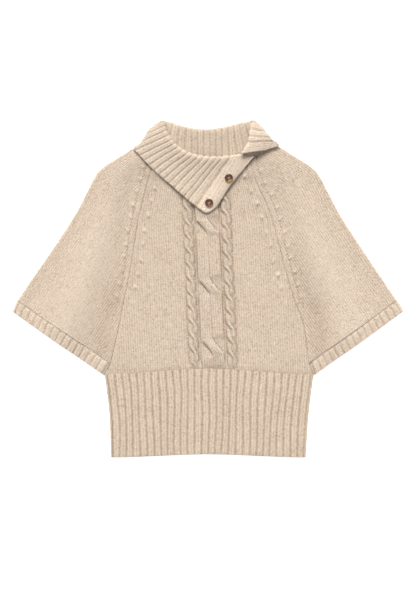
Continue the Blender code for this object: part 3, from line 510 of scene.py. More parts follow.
def grid_faces(numbers, closed, turned):
    a = numbers
    b = np.roll(numbers, -1, axis=1)
    if not closed:
        a, b = a[:, :-1], b[:, :-1]
    quads = np.stack([a[:-1], b[:-1], b[1:], a[1:]], axis=-1).reshape(-1, 4)
    return quads[:, ::-1] if turned else quads


def shell(name, outer, inner, stitches, marks, closed=False):
    """A closed shell between a fine outer grid and a coarse inner one.

    stitches is the outer grid's wale and course at each point, and marks its purl (1 where the
    purl side shows) and painted shade (1 in the bottom of a groove, below 0 where painted light makes it
    paler).
    The rims join the two grids.
    """
    outer_numbers = np.arange(outer.shape[0] * outer.shape[1]).reshape(outer.shape[:2])
    inner_numbers = np.arange(inner.shape[0] * inner.shape[1]).reshape(inner.shape[:2])
    inner_numbers = inner_numbers + outer_numbers.size
    points = np.concatenate([outer.reshape(-1, 3), inner.reshape(-1, 3)])
    faces = grid_faces(outer_numbers, closed, False).tolist()
    faces += grid_faces(inner_numbers, closed, True).tolist()
    rims_from = len(faces)

    def rim(out_chain, in_chain, turned):
        made = zip_edges(
            list(out_chain), list(in_chain), chords(points[out_chain]), chords(points[in_chain])
        )
        faces.extend([f if turned else f[::-1] for f in made])

    for row, turned in ((0, False), (-1, True)):
        out_chain, in_chain = outer_numbers[row], inner_numbers[row]
        if closed:
            out_chain = np.append(out_chain, out_chain[0])
            in_chain = np.append(in_chain, in_chain[0])
        rim(out_chain, in_chain, turned)
    if not closed:
        for col, turned in ((0, True), (-1, False)):
            rim(outer_numbers[:, col], inner_numbers[:, col], turned)

    mesh = bpy.data.meshes.new(name)
    mesh.from_pydata((points * MM).tolist(), [], faces)
    work = bmesh.new()
    work.from_mesh(mesh)
    bmesh.ops.recalc_face_normals(work, faces=work.faces)
    work.to_mesh(mesh)
    work.free()
    mesh.polygons.foreach_set("use_smooth", np.arange(len(faces)) < rims_from)

    rows = np.linspace(0, outer.shape[0] - 1, inner.shape[0]).round().astype(int)
    cols = np.linspace(0, outer.shape[1] - 1, inner.shape[1]).round().astype(int)
    matching = np.ix_(rows, cols)
    u = np.concatenate([stitches[0].ravel(), stitches[0][matching].ravel()])
    v = np.concatenate([stitches[1].ravel(), stitches[1][matching].ravel()])
    corners = np.empty(len(mesh.loops), dtype=np.int32)
    mesh.loops.foreach_get("vertex_index", corners)
    layer = mesh.uv_layers.new(name="stitches")
    layer.data.foreach_set("uv", np.stack([u[corners], v[corners]], axis=1).ravel())
    for label, values in zip(("purl", "shade"), marks):
        held = mesh.attributes.new(label, "FLOAT", "POINT")
        filled = np.concatenate([values.ravel(), np.zeros(inner_numbers.size)])
        held.data.foreach_set("value", filled.astype(np.float32))
    piece = bpy.data.objects.new(name, mesh)
    bpy.context.scene.collection.objects.link(piece)
    return piece


def sheet(piece, node):
    """Puts a knitted shell in its solid's place, as a sheet of cloth laid down."""
    piece.data.materials.append(knit_material(bpy.context.scene.sweater_knit))
    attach(piece, "root")
    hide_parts(node)
    return piece


# ---------------------------------------------------------------- materials


class Value:
    """A socket of a material's nodes that takes part in Python sums."""

    def __init__(self, tree, socket):
        self.tree = tree
        self.socket = socket

    def math(self, operation, *others):
        return node(self.tree, "ShaderNodeMath", {"operation": operation}, (self, *others))

    def __add__(self, other):
        return self.math("ADD", other)

    def __sub__(self, other):
        return self.math("SUBTRACT", other)

    def __mul__(self, other):
        return self.math("MULTIPLY", other)

    __radd__ = __add__
    __rmul__ = __mul__

    def __rsub__(self, other):
        return node(self.tree, "ShaderNodeMath", {"operation": "SUBTRACT"}, (other, self))

    def __abs__(self):
        return self.math("ABSOLUTE")

    def part(self):
        return self.math("FRACT")

    def floor(self):
        return self.math("FLOOR")

    def least(self, other):
        return self.math("MINIMUM", other)

    def ramp(self, low, high):
        """0 below low and 1 above high, with soft ends."""
        sockets = {"Value": self, "From Min": low, "From Max": high}
        return node(self.tree, "ShaderNodeMapRange", {"interpolation_type": "SMOOTHSTEP"}, sockets)

    def mix(self, first, second):
        """first where this is 0 and second where it is 1, as colours."""
        return node(
            self.tree, "ShaderNodeMix", {"data_type": "RGBA", "clamp_factor": True},
            {0: self, 6: first, 7: second}, 2,
        )


    def into(self, shader, name):
        self.tree.links.new(self.socket, shader.inputs[name])


def node(tree, kind, settings, sockets, output=0):
    """Adds a node with its settings and its sockets' values or links, and returns an output."""
    made = tree.nodes.new(kind)
    for key, value in settings.items():
        setattr(made, key, value)
    pairs = sockets.items() if isinstance(sockets, dict) else enumerate(sockets)
    for key, value in pairs:
        socket = made.inputs[key]
        if isinstance(value, Value):
            tree.links.new(value.socket, socket)
        elif socket.type == "RGBA":
            socket.default_value = (*value, 1.0)
        else:
            socket.default_value = value
    return Value(tree, made.outputs[output])


def new_material(name, constants):
    """A material, its tree and its shader, with the shader's sockets that don't vary set."""
    made = bpy.data.materials.new(name)
    made.use_nodes = True
    shader = made.node_tree.nodes["Principled BSDF"]
    for key, value in constants.items():
        shader.inputs[key].default_value = value
    return made, made.node_tree, shader


def object_place(tree):
    return node(tree, "ShaderNodeTexCoord", {}, (), 3)


def attribute(tree, name):
    return node(tree, "ShaderNodeAttribute", {"attribute_name": name}, (), 2)


def noise(tree, where, scale, detail=2.0, rough=0.5):
    settings = {"noise_dimensions": "3D"}
    sockets = {"Vector": where, "Scale": scale, "Detail": detail, "Roughness": rough}
    return node(tree, "ShaderNodeTexNoise", settings, sockets)


def knit_material(knit):
    """Plain and purl stitches in heathered yarn, over the piece's own wales and courses, with painted
    shade and light.
    """
    if "oatmeal_knit" in bpy.data.materials:
        return bpy.data.materials["oatmeal_knit"]
    made, tree, shader = new_material("oatmeal_knit", {
        "Roughness": 0.92, "Specular IOR Level": 0.15, "Sheen Weight": 0.20,
        "Sheen Roughness": 0.55, "Sheen Tint": (1.0, 0.95, 0.88, 1.0),
    })
    uv = node(tree, "ShaderNodeUVMap", {"uv_map": "stitches"}, ())
    place = object_place(tree)
    split = node(tree, "ShaderNodeSeparateXYZ", {}, (uv,))
    u = split
    v = Value(tree, split.socket.node.outputs[1])
    purl = attribute(tree, "purl")
    # The shade attribute: painted shade in grooves and hollows, and painted light where it is below 0
    groove = attribute(tree, "shade")

    u = u + (noise(tree, place, 90.0, 1.0) - 0.5) * 0.26
    v = v + (noise(tree, place, 130.0, 1.0) - 0.5) * 0.60
    side = abs(u.part() - 0.5) * 2.0
    slanted = v - side * 0.85
    across_leg = 1.0 - abs(slanted.part() - 0.5) * 2.0
    between_wales = side.ramp(0.50, 0.95)
    plain = across_leg.ramp(0.0, 0.70) * (1.0 - between_wales * 0.85)
    plain = plain * (side.ramp(0.0, 0.25) * 0.3 + 0.7)
    bar = (v + (u * 2.0).part().ramp(0.0, 1.0) * 0.35).part()
    purled = (1.0 - abs(bar - 0.5) * 2.0).ramp(0.0, 0.8)
    purled = purled * (abs((u + 0.25).part() - 0.5) * 1.2 + 0.4)
    loops = plain + purl * (purled - plain)

    cell = node(tree, "ShaderNodeCombineXYZ", {}, ((u * 2.0).floor(), slanted.floor(), 0.0))
    single = node(tree, "ShaderNodeTexWhiteNoise", {"noise_dimensions": "2D"}, {"Vector": cell})
    fibre = noise(tree, place, 1500.0, 3.0, 0.65)
    slub = noise(tree, place, 330.0, 2.0, 0.65)
    lay = noise(tree, place, 55.0, 2.0, 0.5)
    height = loops * 0.80 + slub * 0.70 + fibre * 0.25 + single * 0.18
    bump = node(
        tree, "ShaderNodeBump", {},
        {"Strength": 1.0, "Distance": knit.stitch_depth, "Height": height},
    )
    bump.into(shader, "Normal")

    # Painted shade between the loops and in the creases between wales, and the shade attribute's painted
    # shade and light; slub, single and lay are the yarn's own random tone
    dark = (1.0 - loops) * 0.36 + groove * 0.78 + (0.5 - slub).ramp(0.0, 0.26) * 0.60
    dark = dark + between_wales * (1.0 - purl) * 0.26 + single * 0.26 - 0.22 + (lay - 0.5) * 0.30
    pale = (slub - 0.5).ramp(0.0, 0.26) * 0.75 + (fibre - 0.5).ramp(0.0, 0.25) * 0.25
    tone = pale.mix(tuple(knit.yarn), tuple(knit.fleck))
    tone = dark.least(0.95).mix(tone, tuple(knit.shade))
    tone.into(shader, "Base Color")
    return made


def horn_material(buttons):
    """Polished tortoiseshell: dark clouds in amber, with a painted glow of light that makes the lower
    side amber.
    """
    made, tree, shader = new_material(
        "tortoise_horn_polished", {"Coat Weight": 0.6, "Coat Roughness": 0.08}
    )
    place = object_place(tree)
    cloud = noise(tree, place, 190.0, 3.0, 0.55)
    speck = noise(tree, place, 900.0, 2.0, 0.5)
    # clear is a painted glow of light on the lower side of each button, mixed with the horn's own clouds
    low = attribute(tree, "clear")
    clear = (low * 0.55 + (cloud - 0.5) * 0.9 + (speck - 0.5) * 0.16).ramp(0.36, 0.56)
    tone = clear.mix(tuple(buttons.dark), tuple(buttons.amber))
    tone.into(shader, "Base Color")
    rough = speck * 0.12 + 0.16
    rough.into(shader, "Roughness")
    return made


def thread_material(buttons):
    made, tree, shader = new_material("sewing_thread", {"Roughness": 0.75})
    place = object_place(tree)
    ply = noise(tree, place, 2200.0, 2.0, 0.6)
    tone = ply.ramp(0.3, 0.7).mix(tuple(c * 0.7 for c in buttons.thread), tuple(buttons.thread))
    tone.into(shader, "Base Color")
    bump = node(tree, "ShaderNodeBump", {}, {"Strength": 0.6, "Distance": 0.0002, "Height": ply})
    bump.into(shader, "Normal")
    return made


# ---------------------------------------------------------------- panels


def beside(x, y, line):
    """Distance of points from a raglan line, level and squared up, and their place along it."""
    slope = np.interp(y, line[:, 1], np.gradient(line[:, 0], line[:, 1]))
    away = np.abs(x - np.interp(y, line[:, 1], line[:, 0])) / np.sqrt(1.0 + slope**2)
    return away, np.interp(y, line[:, 1], run_length(line))


def raglan_relief(away, along, column, holes):
    """Relief and painted shade of a seam, a smooth column beside it and a dotted line where it ends."""
    seam = np.exp(-((away / 0.95) ** 2))
    smooth_part = smooth((away - 0.6) / 1.4) * smooth((column + 0.4 - away) / 1.6)
    dots = np.exp(-(((away - column - 0.8) / 1.1) ** 2))
    dots = dots * (0.45 + 0.55 * np.cos(TURN * (along - 0.5 * away) / 5.6))
    shown = smooth((along - MARKS_FROM) / MARKS_FADE)
    stitched = 0.6 + 0.4 * np.cos(TURN * along / 6.2)
    height = 0.55 * smooth_part - 0.6 * seam - holes * 1.0 * dots * shown
    return height, np.clip(0.30 * seam * stitched + holes * 0.85 * dots * shown, 0.0, 1.0)


def fashioning(away, along, centre, spacing, size, slant):
    """Relief of narrowing marks beside a raglan, slanted lumps over small holes, with painted highlight
    and shade.
    """
    k = np.round(along / spacing)
    down = k * spacing + 1.6 * np.sin(2.3 * k) - along
    out = away - centre - 0.9 * np.sin(4.1 * k)
    long = down * math.cos(slant) + out * math.sin(slant)
    wide = out * math.cos(slant) - down * math.sin(slant)
    lump = np.exp(-((long / (4.8 * size)) ** 2) - (wide / (2.6 * size)) ** 2)
    hole = np.exp(-(((long - 6.2 * size) / 2.6) ** 2) - ((wide + 0.6) / 1.4) ** 2)
    shown = smooth((along - MARKS_FROM) / MARKS_FADE) * smooth((away - 2.0) / 3.0)
    return (2.9 * size * lump - 0.4 * hole) * shown, (0.20 * hole - 0.30 * lump) * shown


def resample(line, fractions):
    """Points at fractions of a line's length."""
    at = chords(line)
    return np.column_stack([np.interp(fractions, at, line[:, axis]) for axis in (0, 1)])


def front_plan(columns, rows_each):
    """Coons patch between the raglans, the neck seam and the waist seam."""
    neck = np.array(FRONT_NECK)
    knots = (0.0, 0.30, 0.70, 1.0)
    low, high = WAIST_CORNER_RIGHT[0], WAIST_CORNER_LEFT[0]
    bottom_x = np.interp(columns, knots, (low, -39.0, 54.0, high))
    top_x = np.interp(columns, knots, (neck[0][0], -56.0, 42.0, neck[-1][0]))
    bottom_y = arch_y(bottom_x, *waist_edges(0.0)) + SEAM
    bottom = np.stack([bottom_x, bottom_y], axis=1)
    top = np.stack([top_x, hermite(neck[:, 0], neck[:, 1], top_x)], axis=1)
    sides = []
    for table, end, inward in ((SLEEVE_RIGHT, 0, 1), (SLEEVE_LEFT, -1, -1)):
        line = raglan_line(table)
        line[0, 1] = bottom_y[end]
        sides.append(resample(line, rows_each) + np.array([inward * SEAM / 2, 0.0]))
    u = columns[None, :, None]
    v = rows_each[:, None, None]
    bottom[0], bottom[-1] = sides[0][0], sides[1][0]
    top[0], top[-1] = sides[0][-1], sides[1][-1]
    ruled = (1 - v) * bottom[None] + v * top[None]
    across = (1 - u) * sides[0][:, None] + u * sides[1][:, None]
    left = (1 - u) * ((1 - v) * bottom[0] + v * top[0])
    right = u * ((1 - v) * bottom[-1] + v * top[-1])
    return ruled + across - left - right


def seam_dots(away, along, wale):
    """Painted shade of a dotted seam line at a distance from it, with a dot for each wale."""
    return np.exp(-((away / 1.2) ** 2)) * (0.10 + 0.10 * np.cos(TURN * along / wale))


def make_front(context):
    knit, relief = context.scene.sweater_knit, context.scene.sweater_relief
    # Columns lie close together beside the raglans and over the cables
    beside_seam, between = np.linspace(0.0, 0.05, 20), np.linspace(0.05, 0.29, 38)
    columns = np.concatenate([
        beside_seam[:-1], between[:-1], np.linspace(0.29, 0.71, 122),
        1.0 - between[-2::-1], 1.0 - beside_seam[-2::-1],
    ])
    plan = front_plan(columns, evenly(400))
    x, y = plan[..., 0], plan[..., 1]
    strands = Strands(x, y, relief, knit)
    height = strands.height + 0.25 * ripple(x, y, 3, 26.0)
    # Painted shade on the purl gutters, along the dotted lines beside the ropes and in the hollows of the
    # relief
    shade = 0.10 * strands.purl + 0.46 * strands.line + 0.8 * cavity(height, 10, 1.5)
    for table in (SLEEVE_RIGHT, SLEEVE_LEFT):
        away, along = beside(x, y, raglan_line(table))
        rise, dark = raglan_relief(away, along, FRONT_COLUMN, 0.25)
        lump, hole = fashioning(away, along, *FRONT_MARKS)
        height += rise + lump
        # The raglan seams, their dotted lines and the marks' holes get painted shade, the marks' lumps
        # painted highlights
        shade = shade + dark + hole
    hem = y - arch_y(x, *waist_edges(0.0))
    height -= 0.8 * (1.0 - smooth(hem / 9.0))
    # Painted shade along the waist seam
    shade = np.clip(shade + seam_dots(hem, x, knit.wale / MM), -0.3, 1.0)
    outer = np.dstack([x, y, front_mid(x, y) + CLOTH / 2 + height])
    plan = front_plan(evenly(25), evenly(33))
    inner = np.dstack([plan, front_mid(plan[..., 0], plan[..., 1]) - CLOTH / 2])
    piece = shell("front_knit", outer, inner, (strands.u, strands.v), (strands.purl, shade))
    return sheet(piece, "front_panel")


def make_back(context):
    knit = context.scene.sweater_knit
    columns = evenly(121)
    neck = curve_at(BACK_NECK, columns)[:, 1]
    bottom_x = np.linspace(WAIST_CORNER_RIGHT[0], WAIST_CORNER_LEFT[0], 121)
    bottom = arch_y(bottom_x, *waist_edges(0.0)) + 1.0

    def plan(side_rows, columns, neck, bottom):
        lines = []
        for table, inward in ((SLEEVE_RIGHT, 1), (SLEEVE_LEFT, -1)):
            line = raglan_line(table, back=True)
            line[0, 1] = bottom[0]
            lines.append(resample(line, side_rows) + np.array([inward * 0.2, 0.0]))
        right, left = lines
        arch = bottom - np.linspace(bottom[0], bottom[-1], len(columns))
        dip = neck - np.linspace(neck[0], neck[-1], len(columns))
        up = side_rows[:, None]
        x = right[:, :1] + (left[:, :1] - right[:, :1]) * columns
        y = right[:, 1:] + (left[:, 1:] - right[:, 1:]) * columns + arch * (1.0 - up) + dip * up
        return x, y

    x, y = plan(evenly(131), columns, neck, bottom)
    low = np.dstack([x, y, lift(x, y)])
    some = slice(None, None, 5)
    x2, y2 = plan(evenly(27), columns[some], neck[some], bottom[some])
    top = np.dstack([x2, y2, lift(x2, y2) + CLOTH])
    stitches = (x / (knit.wale / MM), y / (knit.course / MM))
    marks = (np.zeros_like(x), np.zeros_like(x))
    piece = shell("back_knit", low, top, stitches, marks)
    return sheet(piece, "back_panel")


def across_height(row, start, run):
    """Height over the front of a sleeve: its valley, ridge and edge, run 0 at the raglan."""
    knots = np.array((0.0, row["valley_at"], row["ridge_at"], 1.0))
    heights = np.array((start, row["valley"], row["ridge"], row["edge"]))
    k = np.clip(np.searchsorted(knots, run, side="right") - 1, 0, 2)
    part = smooth((run - knots[k]) / (knots[k + 1] - knots[k]))
    return heights[k] + (heights[k + 1] - heights[k]) * part


def sleeve_section(row, shift, front_count, edge_count, back_count):
    """One section of a sleeve: front raglan, over the overarm fold, back raglan."""
    raglan = np.array([row["raglan_x"], row["raglan_y"]])
    over = np.array([row["over_x"], row["over_y"]])
    span = np.linalg.norm(over - raglan)
    way = (over - raglan) / span
    reach = span - CLOTH / 2
    low_start = CLOTH / 2 + float(lift(over[0], over[1]))
    edge = FOLD_ROUND * (row["edge"] - low_start) / 2
    start = float(front_mid(raglan[0], raglan[1]))
    run = evenly(front_count) * (reach - edge) / span
    z = across_height(row, start, run)
    centre = (z[-1] + low_start) / 2
    half = (z[-1] - low_start) / 2
    turn = np.linspace(math.pi / 2, -math.pi / 2, edge_count + 2)[1:-1]
    arc_away = reach - edge + edge * np.cos(turn)
    arc_z = centre + half * np.sin(turn)
    back = np.linspace(reach - edge, 0.0, back_count)
    back_xy = raglan + way * back[:, None] + shift * (1.0 - back[:, None] / (reach - edge))
    back_z = CLOTH / 2 + lift(back_xy[:, 0], back_xy[:, 1])
    front_xy = raglan + way * (run * span)[:, None]
    arc_xy = raglan + way * arc_away[:, None]
    xy = np.concatenate([front_xy, arc_xy, back_xy])
    return np.column_stack([xy, np.concatenate([z, arc_z, back_z])])


def sleeve_mid(table, counts, rows, side):
    grid = []
    for values, shift in zip(sleeve_values(table, rows), back_shift(table, rows)):
        row = dict(zip(SLEEVE_COLUMNS, values))
        row["raglan_x"] += side * SEAM / 2
        grid.append(sleeve_section(row, shift, *counts))
    return np.array(grid)


def make_sleeve(context, name, table, side, node_name):
    knit = context.scene.sweater_knit
    wale, course = knit.wale / MM, knit.course / MM
    counts = (140, 14, 40)
    mid = sleeve_mid(table, counts, evenly(250), side)
    normal = grid_normals(mid) * -side
    floor = mid[..., 2] <= CLOTH / 2 + 1e-6
    front = np.arange(mid.shape[1]) < counts[0]
    line = raglan_line(table)
    height = 0.4 * ripple(mid[..., 0], mid[..., 1], 7 + side, 30.0)
    away, along = beside(mid[..., 0], mid[..., 1], line)
    # The raglan seam, its dotted line and the marks' holes get painted shade, the marks' lumps painted
    # highlights
    rise, shade = raglan_relief(away, along, SLEEVE_COLUMN, 1.0)
    lump, hole = fashioning(away, along, *SLEEVE_MARKS)
    height = (height + rise + lump) * front
    cuff_gap = np.linalg.norm(mid[-1][None, :, :2] - mid[..., :2], axis=2)
    height = height - 0.1 * np.exp(-((cuff_gap / 1.6) ** 2)) * front
    across = evenly(counts[0])[None]
    down = evenly(mid.shape[0])[:, None]
    ridge = np.exp(-(((across - 0.50) / 0.20) ** 2)) * smooth((down - 0.25) / 0.35)
    dip = np.exp(-(((across - 0.15) / 0.13) ** 2)) * smooth((down - 0.45) / 0.3)
    rim = smooth((across - 0.72) / 0.22) * smooth((down - 0.15) / 0.3)
    fold = np.zeros_like(shade)
    # Painted shade darkens the valley beside the raglan and the overarm edge, and a painted highlight
    # makes the ridge between paler
    ridge_highlight = 0.34 if side < 0 else 0.26
    fold[:, :counts[0]] = 0.30 * dip + 0.04 * rim - ridge_highlight * ridge
    shade = (np.clip(shade + hole, -0.3, 1.0) + fold) * front
    outer = mid + normal * (CLOTH / 2 + height)[..., None]
    outer[..., 2] = np.where(floor, 0.0, np.maximum(outer[..., 2], 0.0))
    outer[:, 0] = mid[:, 0] + UP * CLOTH / 2 + height[:, :1] * UP
    outer[:, -1] = mid[:, -1] - UP * CLOTH / 2
    over = mid[:, counts[0] - 1]
    down = run_length(over)
    gap = np.linalg.norm(mid[..., :2] - over[:, None, :2], axis=2)
    sign = np.where(np.arange(mid.shape[1]) < counts[0], 1.0, -1.0)
    stitches = (gap * sign / wale, -(down[:, None] + 0.0 * gap) / course)
    coarse = sleeve_mid(table, (24, 6, 8), evenly(40), side)
    inner = coarse - grid_normals(coarse) * -side * CLOTH / 2
    inner[..., 2] = np.where(coarse[..., 2] <= CLOTH / 2 + 1e-6, CLOTH, inner[..., 2])
    inner[:, 0] = coarse[:, 0] - UP * CLOTH / 2
    inner[:, -1] = coarse[:, -1] + UP * CLOTH / 2
    piece = shell(name, outer, inner, stitches, (np.zeros_like(shade), shade))
    return sheet(piece, node_name)


# ---------------------------------------------------------------- ribbed tubes


def fold_reach(z):
    return FOLD_ROUND * (z - RIB_WALL / 2) / 2


def flat_tube(front, back_xy, side_count):
    """Mid ring of a flattened tube: the front layer, one side fold, the back layer, the other."""
    back_z = RIB_WALL / 2
    ring = [front]
    for end, way in ((front[-1], 1.0), (front[0], -1.0)):
        along = (front[-1] - front[0])[:2]
        along = along / np.linalg.norm(along) * way
        half = (end[2] - back_z) / 2
        turn = np.linspace(math.pi / 2, -math.pi / 2, side_count + 2)[1:-1]
        if way < 0:
            turn = turn[::-1]
        out = along * (fold_reach(end[2]) * np.cos(turn))[:, None]
        ring.append(np.column_stack([end[:2] + out, back_z + half + half * np.sin(turn)]))
        if way > 0:
            ring.append(np.column_stack([back_xy, np.full(len(back_xy), back_z)]))
    return np.concatenate(ring)


def waist_edges(drop):
    """Left and right edge and the heights of a level of the waistband, drop 0 top to 1 hem."""
    lefts = (WAIST_TOP_LEFT, WAIST_MID_LEFT, WAIST_HEM_LEFT)
    rights = (WAIST_TOP_RIGHT, WAIST_MID_RIGHT, WAIST_HEM_RIGHT)
    left = hermite((0.0, 0.45, 1.0), lefts, [drop])[0]
    right = hermite((0.0, 0.45, 1.0), rights, [drop])[0]
    level = WAIST_TOP_Y + (WAIST_HEM_Y - WAIST_TOP_Y) * drop
    arch = WAIST_TOP_ARCH + (WAIST_HEM_ARCH - WAIST_TOP_ARCH) * drop
    return left, right, level, arch


def arch_y(x, left, right, level, arch):
    middle = (left + right) / 2
    return level + arch * (1.0 - smooth(np.abs(x - middle) / ((right - left) / 2)))


def waist_front_z(s, drop):
    swell = 0.7 * np.sin(np.pi * np.clip(s, 0.0, 1.0))
    return RIB_WALL + LAYER_GAP + RIB_WALL / 2 + 0.9 + swell - 0.7 * drop


def waist_ring(drop, across, back_across, side_count):
    left, right, level, arch = waist_edges(drop)
    inset = fold_reach(waist_front_z(0.0, drop)) + RIB_WALL / 2
    start, end = left + inset, right - inset
    x = start + (end - start) * across
    front = np.column_stack([x, arch_y(x, left, right, level, arch), waist_front_z(across, drop)])
    back_x = end + (start - end) * back_across
    back = np.column_stack([back_x, arch_y(back_x, left, right, level, arch)])
    return flat_tube(front, back, side_count)


def wander(phase, drop, seed):
    """Ribs that stray a little from straight, as in worn ribbing, but not at the seam."""
    wave = np.sin(phase * 0.9 + drop * 4.1 + seed)
    wave = wave + 0.7 * np.sin(phase * 0.37 - drop * 7.3 + 2.0 * seed)
    return 0.075 * wave * smooth(drop * 4.0)


def tube_rings(ring, drops, front, back, side):
    """Mid rings of a tube at its drops, with the points of each layer evenly spaced."""
    return np.array([ring(drop, evenly(front), evenly(back), side) for drop in drops])


def ribbed_tube(context, name, rings, plain, counts, ribs, ribbing):
    """A shell with ribs round the front and back of a flattened tube."""
    front, side, back = counts
    groove_width, dark, pale, stray, level = ribbing
    rise = context.scene.sweater_relief.rib_rise / MM
    course = context.scene.sweater_knit.course / MM
    phase = np.linspace(0.0, ribs, front)
    ring_count = rings.shape[1]
    depth = rings.shape[0]
    whole = np.empty((depth, ring_count))
    for k in range(depth):
        drop = k / (depth - 1)
        inside = (phase > 0.6) * (phase < ribs - 0.6)
        moved = phase + stray * wander(phase, drop, 1.7) * inside
        fold = np.linspace(0.05, 0.95, side)
        under = ribs + 1.0 + np.linspace(0.0, ribs, back)
        whole[k] = np.concatenate([moved, ribs + fold, under, 2.0 * ribs + 1.0 + fold])
    profile = rib_profile(whole)
    sides = np.zeros(ring_count, bool)
    sides[front:front + side] = True
    sides[front + side + back:] = True
    profile = np.where(sides, 0.85, profile)
    normal = grid_normals(rings, closed=True)
    normal = normal * np.sign(normal[0, front // 2, 2])
    down = run_length(rings[:, front // 2])
    grown = smooth(down / 6.0)[:, None]
    raised = rise * profile * grown + level * (1.0 - grown) - 0.25
    outer = rings + normal * (RIB_WALL / 2 + raised)[..., None]
    rear = slice(front + side, front + side + back)
    outer[:, rear, 2] = 0.25 - 0.25 * profile[:, rear]
    outer[..., 2] = np.maximum(outer[..., 2], 0.0)
    inward = grid_normals(plain, closed=True)
    inward = inward * -np.sign(inward[0, plain.shape[1] // 4, 2])
    inner = plain + inward * RIB_WALL / 2
    stitches = (rib_stitches(whole), -np.repeat(down[:, None], ring_count, axis=1) / course)
    # The grooves get painted shade, and pale is painted light that makes the whole tube paler
    groove = groove_shade(whole, groove_width) * ~sides
    shade = dark * groove - pale
    return shell(name, outer, inner, stitches, (0.6 * groove, shade), closed=True)


def make_waistband(context):
    ribs = context.scene.sweater_relief.waist_ribs
    front, side, back = ribs * 12 + 1, 12, ribs * 5 + 1
    rings = tube_rings(waist_ring, evenly(96), front, back, side)
    plain = tube_rings(waist_ring, evenly(13), 60, 30, 6)
    counts = (front, side, back)
    piece = ribbed_tube(context, "waist_rib", rings, plain, counts, ribs, WAIST_RIBBING)
    return sheet(piece, "waistband")


def cuff_ring(table, corners, side, deep, across, back_across, side_count):
    """Ring of a cuff, deep 0 at the sleeve and 1 at the open edge."""
    last = dict(zip(SLEEVE_COLUMNS, table[-1]))
    near = np.array([last["raglan_x"] + side * CUFF_CLEAR, last["raglan_y"]])
    far = np.array([last["over_x"], last["over_y"]])
    near = near + (np.array(corners[0]) + np.array([side * CUFF_CLEAR, 0.0]) - near) * deep
    far = far + (np.array(corners[1]) - far) * deep
    span = np.linalg.norm(far - near)
    way = (far - near) / span
    start = float(front_mid(last["raglan_x"], last["raglan_y"]))
    first = fold_reach(start) + RIB_WALL / 2
    reach = span - fold_reach(last["edge"]) - RIB_WALL / 2
    run = first + (reach - first) * across
    z = across_height(last, start, run / span)
    z = z - 1.2 * deep * (z - 4.0) / 14.0
    front = np.column_stack([near + way * run[:, None], z])
    back = near + way * (reach + (first - reach) * back_across)[:, None]
    return flat_tube(front, back, side_count)


def make_cuff(context, name, table, corners, side, node_name):
    ribs = context.scene.sweater_relief.cuff_ribs
    front, fold, back = ribs * 12 + 1, 10, ribs * 5 + 1

    def ring(deep, across, back_across, side_count):
        return cuff_ring(table, corners, side, deep, across, back_across, side_count)

    start = SEAM / CUFF_DEPTH
    rings = tube_rings(ring, np.linspace(start, 1.0, 22), front, back, fold)
    plain = tube_rings(ring, np.linspace(start, 1.0, 6), 40, 20, 5)
    piece = ribbed_tube(context, name, rings, plain, (front, fold, back), ribs, CUFF_RIBBING)
    return sheet(piece, node_name)


# ---------------------------------------------------------------- collar


def collar_controls(places):
    """The nine control points of the collar's sections at places counted in ribs."""
    table = np.array(COLLAR, float)
    values = hermite(table[:, 0], table, places)
    c = dict(zip(COLLAR_COLUMNS, values.T))
    neck, fold, flap, free = (
        np.column_stack([c[f"{spot}_{axis}"] for axis in "xyz"])
        for spot in ("neck", "fold", "flap", "free")
    )
    flat = np.array([1.0, 1.0, 0.0])
    ahead = -unit(unit((neck - fold) * flat) + unit((flap - fold) * flat))
    aside = np.column_stack([ahead[:, 1], -ahead[:, 0], ahead[:, 2] * 0.0])
    middle = np.array([0.0, 262.0, 0.0])
    outward = np.sign(np.sum(aside * (fold - middle) * flat, axis=1, keepdims=True))
    aside = aside * outward
    roll = np.radians(c["roll"])[:, None]
    radius = c["radius"][:, None]
    apart = radius * (aside * np.cos(roll) + UP * np.sin(roll))
    rim = fold - ahead * COLLAR_WALL / 2
    stand_top = rim - ahead * radius * 1.15 - apart
    flap_top = rim - ahead * radius * 1.15 + apart
    stand = (neck + stand_top) / 2
    stand[:, 2] = c["stand_z"]
    half = (flap_top + flap) / 2
    half[:, 2] = c["half_z"]
    lower = (flap + free) / 2
    lower[:, 2] = free[:, 2] + 0.4 * (flap[:, 2] - free[:, 2])
    return np.stack([neck, stand, stand_top, rim, flap_top, half, flap, lower, free])


def collar_mid(places, levels):
    """Mid surface of the strip: rows by level from the neck edge, 0, to the free edge, 1."""
    return hermite(SECTION_KNOTS, collar_controls(places), levels)


